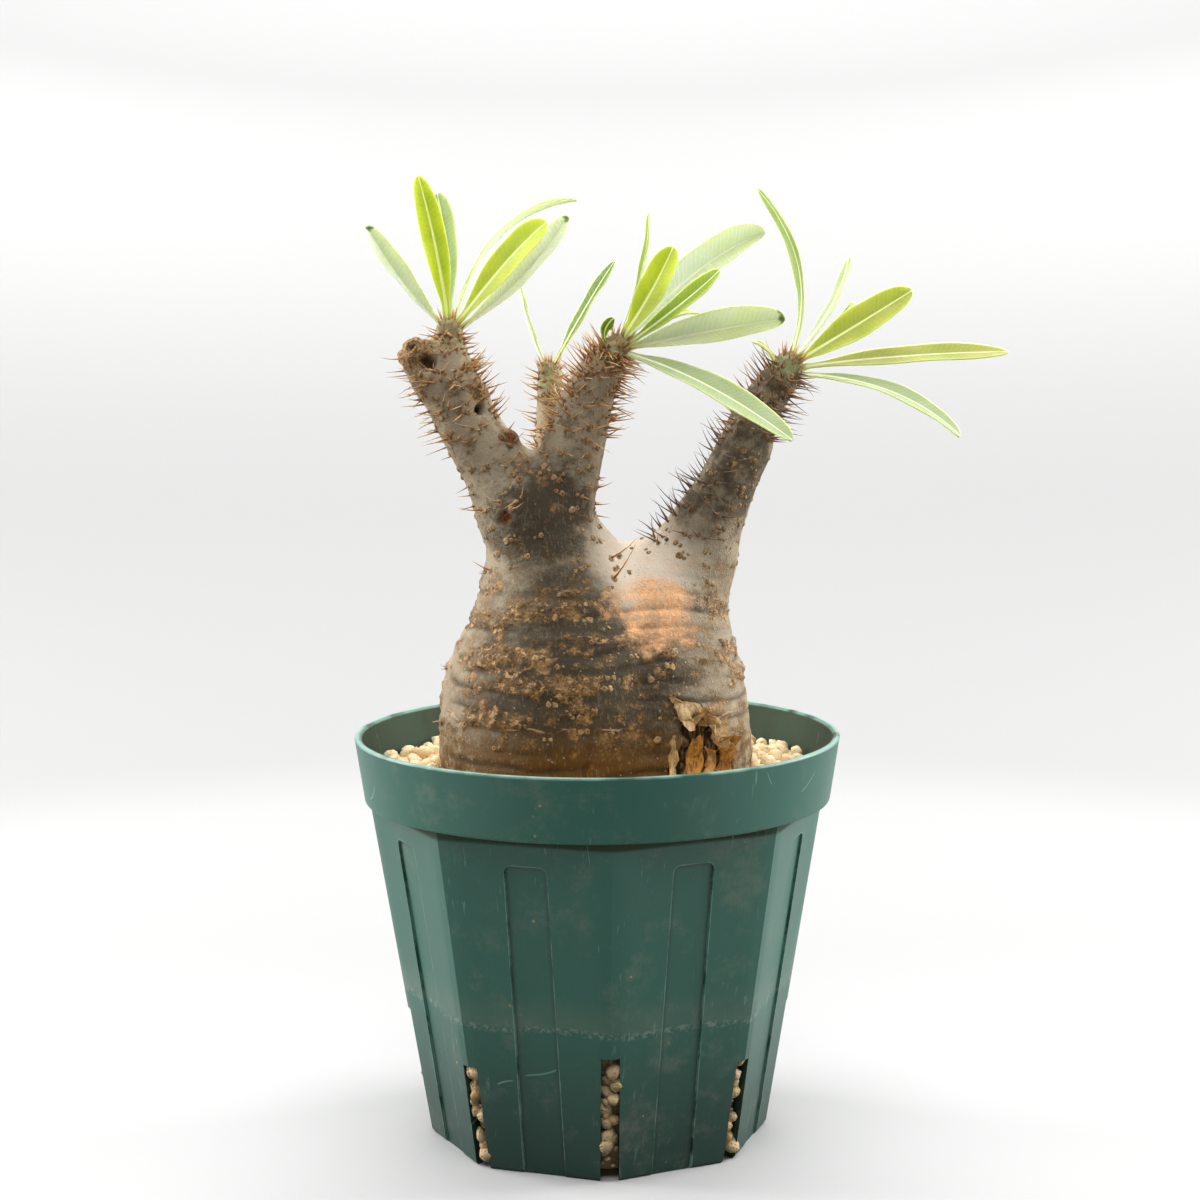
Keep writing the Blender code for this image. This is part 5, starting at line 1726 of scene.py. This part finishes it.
def blade_samples(curves):
    """Places along every blade with its half width there, for keeping spines clear of it."""
    samples = []
    for name, _, (_, _, _, width, _, _) in each_leaf():
        for share in np.linspace(0.0, 1.0, SAMPLES_PER_BLADE):
            samples.append((curve_point(*curves[name], share), blade_half_width(share, width * MM)))
    return samples


def build_leaves(leaf, curves):
    finishes = {}
    for place, (name, _, (_, _, _, width, face, look)) in enumerate(each_leaf()):
        if look not in finishes:
            finishes[look] = leaf_finish(leaf, look)
        blade = blade_points(leaf, curves[name], width * MM, Vector(face), place * WAVE_SHIFT)
        made = build_leaf(name, finishes[look], *blade)
        deliver(made, "leaf_young" if name in YOUNG_LEAVES else "leaf_green", name)


# Pumice


def add_grain(heap, centre, radius, rng):
    """One irregular lump."""
    shape = bmesh.new()
    bmesh.ops.create_icosphere(shape, subdivisions=2, radius=1.0)
    squash = Vector([rng.uniform(*draw) for draw in GRAIN_SQUASH])
    turn = Matrix.Rotation(rng.uniform(0, math.tau), 3, "Z")
    turn = turn @ Matrix.Rotation(rng.uniform(0, math.tau), 3, "X")
    shift = Vector([rng.uniform(0, GRAIN_SHIFT) for _ in range(3)])
    points = []
    for vertex in shape.verts:
        here = vertex.co
        swell = 1 + sum(depth * noise.noise(here * pitch + shift) for depth, pitch in GRAIN_LUMPS)
        points.append(centre + turn @ (here * squash) * swell * radius)
    faces = [tuple(v.index for v in face.verts) for face in shape.faces]
    shape.free()
    heap.add(points, faces, grain=[rng.random()] * len(points))


def scattered(inner, outer, spacing, tries, rng):
    """Places in a flat ring, none closer to another than the spacing."""
    found = []
    for _ in range(tries):
        radius = math.sqrt(rng.uniform(inner**2, outer**2))
        angle = rng.uniform(0, math.tau)
        here = Vector((radius * math.cos(angle), radius * math.sin(angle), 0))
        if all((here - other).length > spacing for other in found):
            found.append(here)
    return found


def clear_of_stem(places, height, chains, gap):
    points = np.array([(p.x, p.y, height) for p in places])
    distance, _ = plant_field(points, chains)
    return [place for place, d in zip(places, distance) if d > gap]


def bed_rings(pot, pumice):
    """The filling under the grains, from the pot's floor up to the stem."""
    band_foot = pot.height - BAND_HEIGHT
    wall_foot = BODY_FOOT_CORNER_RADIUS - pot.body_wall - BED_WALL_GAP
    wall_top = corner_radius_at(band_foot, pot) - pot.body_wall - BED_WALL_GAP
    ledge = BAND_FOOT_RADIUS - pot.rim_wall - BAND_INNER_STEP - BED_LEDGE_GAP
    rings = [
        octagon(wall_foot * 0.5, FLOOR_THICKNESS + BED_FLOOR_GAP),
        octagon(wall_foot, FLOOR_THICKNESS + BED_FLOOR_GAP),
        octagon(wall_top, band_foot - INNER_LEDGE_DROP),
        circle(ledge, band_foot + INNER_LEDGE_RISE),
        circle(ledge + BED_LEAN, pumice.level),
    ]
    for radius in BED_TOP_RADII:
        ring = circle(radius, pumice.level)
        for point in ring:
            point.z += noise.noise(point / MM * BED_WAVES_PER_MM) * BED_WAVE
        rings.append(ring)
    return rings


def add_slit_grains(heap, pot, slit, rng):
    """A pile of grains of mixed sizes behind one slit."""
    angle = -math.pi / 2 + BODY_TURN + slit * side_angle()
    outward = Vector((math.cos(angle), math.sin(angle), 0))
    aside = Vector((-math.sin(angle), math.cos(angle), 0))
    height = FLOOR_THICKNESS + FIRST_GRAIN_RISE
    while height < slit_top(slit):
        out = corner_radius_at(height, pot) - pot.body_wall - rng.uniform(*GRAIN_DEPTHS) * MM
        place = outward * out + aside * rng.uniform(*GRAIN_SIDEWAYS) * MM + UP * height
        add_grain(heap, place, rng.choice(SLIT_GRAIN_RADII) * MM, rng)
        height += rng.uniform(*GRAIN_STEPS) * MM


def build_pumice(pumice, pot, chains):
    rng = random.Random(pumice.seed)
    points, faces = skin_rings(bed_rings(pot, pumice))
    heap = Heap("grain")
    heap.add(points, faces, grain=[0.5] * len(points))
    size = pumice.grain_radius
    outer = pot.rim_radius - pot.rim_wall - GRAINS_TO_RIM
    places = scattered(GRAINS_FROM, outer, size * GRAIN_SPACING, GRAIN_TRIES, rng)
    for place in clear_of_stem(places, pumice.level + size, chains, size * GRAIN_TO_STEM):
        place.z = pumice.level + size * rng.uniform(*GRAIN_RISE_DRAW)
        add_grain(heap, place, size * rng.uniform(*GRAIN_SIZE_DRAW), rng)
    for slit in range(BODY_SIDES):
        add_slit_grains(heap, pot, slit, rng)
    deliver(heap.object("pumice_bed", pumice_finish(pumice)), "pumice", "grit")


# Studio


def area_light(name, place, target, size, power):
    light = bpy.data.lights.new(name, "AREA")
    light.shape = "RECTANGLE"
    light.size, light.size_y = size
    light.energy = power
    made = bpy.data.objects.new(name, light)
    made.location = place
    made.rotation_euler = (Vector(target) - Vector(place)).to_track_quat("-Z", "Y").to_euler()
    made.visible_camera = False
    bpy.context.scene.collection.objects.link(made)


def bowl(name, material):
    """A flat floor that curves up all round into a wall."""
    profile = [(0.0, 0.0), (FLAT_RADIUS / 2, 0.0), (FLAT_RADIUS, 0.0)]
    for k in range(1, CURVE_STEPS + 1):
        angle = math.pi / 2 * k / CURVE_STEPS
        out = FLAT_RADIUS + CURVE_RADIUS * math.sin(angle)
        profile.append((out, CURVE_RADIUS * (1 - math.cos(angle))))
    profile.append((FLAT_RADIUS + CURVE_RADIUS, WALL_HEIGHT))
    points = []
    for radius, height in profile:
        for i in range(BOWL_SIDES):
            angle = math.tau * i / BOWL_SIDES
            points.append((radius * math.cos(angle), radius * math.sin(angle), height))
    return mesh_object(name, points, ring_faces(len(profile), BOWL_SIDES), material)


def set_air(strength):
    """An even, faint white light from all round."""
    world = bpy.data.worlds.new("studio_air")
    world.use_nodes = True
    inputs = world.node_tree.nodes["Background"].inputs
    inputs["Color"].default_value = (1.0, 1.0, 1.0, 1.0)
    inputs["Strength"].default_value = strength
    bpy.context.scene.world = world


def set_camera(stage):
    camera = bpy.data.objects.new("photo_camera", bpy.data.cameras.new("photo_camera"))
    camera.data.lens = stage.focal_length
    camera.data.sensor_width = SENSOR_WIDTH
    camera.data.clip_start = CLIP_START
    camera.location = (0.0, -stage.camera_distance, stage.camera_height)
    camera.rotation_euler = CAMERA_TURN
    bpy.context.scene.collection.objects.link(camera)
    bpy.context.scene.camera = camera


def build_stage(stage):
    """A pale paper bowl, the lights round it and the camera."""
    floor = bowl("studio_floor", floor_finish(stage))
    floor.visible_diffuse = False
    shade(floor)
    for name, place, target, size, setting in LIGHTS:
        area_light(name, place, target, size, getattr(stage, setting))
    set_air(stage.air)
    set_camera(stage)
    bpy.context.scene.view_settings.view_transform = "Standard"


# Operators


def plant_chains():
    return [smooth_chain(stations) for stations in LIMBS]


class PLANT_OT_pot(bpy.types.Operator):
    """Moulds the slit pot"""

    bl_idname = "plant.pot"
    bl_label = "Make pot"

    def execute(self, context):
        build_pot(context.scene.plant_pot)
        return {"FINISHED"}


class PLANT_OT_pumice(bpy.types.Operator):
    """Fills the pot with pumice"""

    bl_idname = "plant.pumice"
    bl_label = "Fill with pumice"

    def execute(self, context):
        scene = context.scene
        build_pumice(scene.plant_pumice, scene.plant_pot, plant_chains())
        return {"FINISHED"}


class PLANT_OT_stem(bpy.types.Operator):
    """Grows the stem with its bark, and the loose bark low on the right"""

    bl_idname = "plant.stem"
    bl_label = "Grow stem"

    def execute(self, context):
        stem = context.scene.plant_stem
        skin = build_stem(stem, plant_chains())
        build_flakes(skin)
        return {"FINISHED"}


class PLANT_OT_leaves(bpy.types.Operator):
    """Grows the leaves, and then the spines clear of them"""

    bl_idname = "plant.leaves"
    bl_label = "Grow leaves and spines"

    def execute(self, context):
        skin = bpy.data.objects.get("stem_skin")
        if skin is None:
            raise RuntimeError("Grow the stem before its leaves")
        curves = leaf_curves(tree_of(skin))
        build_leaves(context.scene.plant_leaves, curves)
        build_spines(context.scene.plant_stem, skin, blade_samples(curves))
        return {"FINISHED"}


class PLANT_OT_stage(bpy.types.Operator):
    """Sets up the floor, the lights and the camera"""

    bl_idname = "plant.stage"
    bl_label = "Set up studio"

    def execute(self, context):
        build_stage(context.scene.plant_stage)
        return {"FINISHED"}


OPERATORS = [PLANT_OT_pot, PLANT_OT_pumice, PLANT_OT_stem, PLANT_OT_leaves, PLANT_OT_stage]


class PLANT_PT_panel(bpy.types.Panel):
    """Lists the settings of the plant and the buttons that build it"""

    bl_idname = "PLANT_PT_panel"
    bl_label = "Potted Pachypodium"
    bl_space_type = "VIEW_3D"
    bl_region_type = "UI"
    bl_category = "Plant"

    def draw(self, context):
        for name, group in SETTINGS.items():
            box = self.layout.box()
            for key in group.__annotations__:
                box.prop(getattr(context.scene, name), key)
        for operator in OPERATORS:
            self.layout.operator(operator.bl_idname)


def register():
    for name, group in SETTINGS.items():
        bpy.utils.register_class(group)
        setattr(bpy.types.Scene, name, PointerProperty(type=group))
    for operator in OPERATORS:
        bpy.utils.register_class(operator)
    bpy.utils.register_class(PLANT_PT_panel)


def unregister():
    bpy.utils.unregister_class(PLANT_PT_panel)
    for operator in reversed(OPERATORS):
        bpy.utils.unregister_class(operator)
    for name, group in SETTINGS.items():
        delattr(bpy.types.Scene, name)
        bpy.utils.unregister_class(group)


def main():
    register()
    bpy.ops.plant.stage()
    bpy.ops.plant.pot()
    bpy.ops.plant.pumice()
    bpy.ops.plant.stem()
    bpy.ops.plant.leaves()


if __name__ == "__main__":
    main()
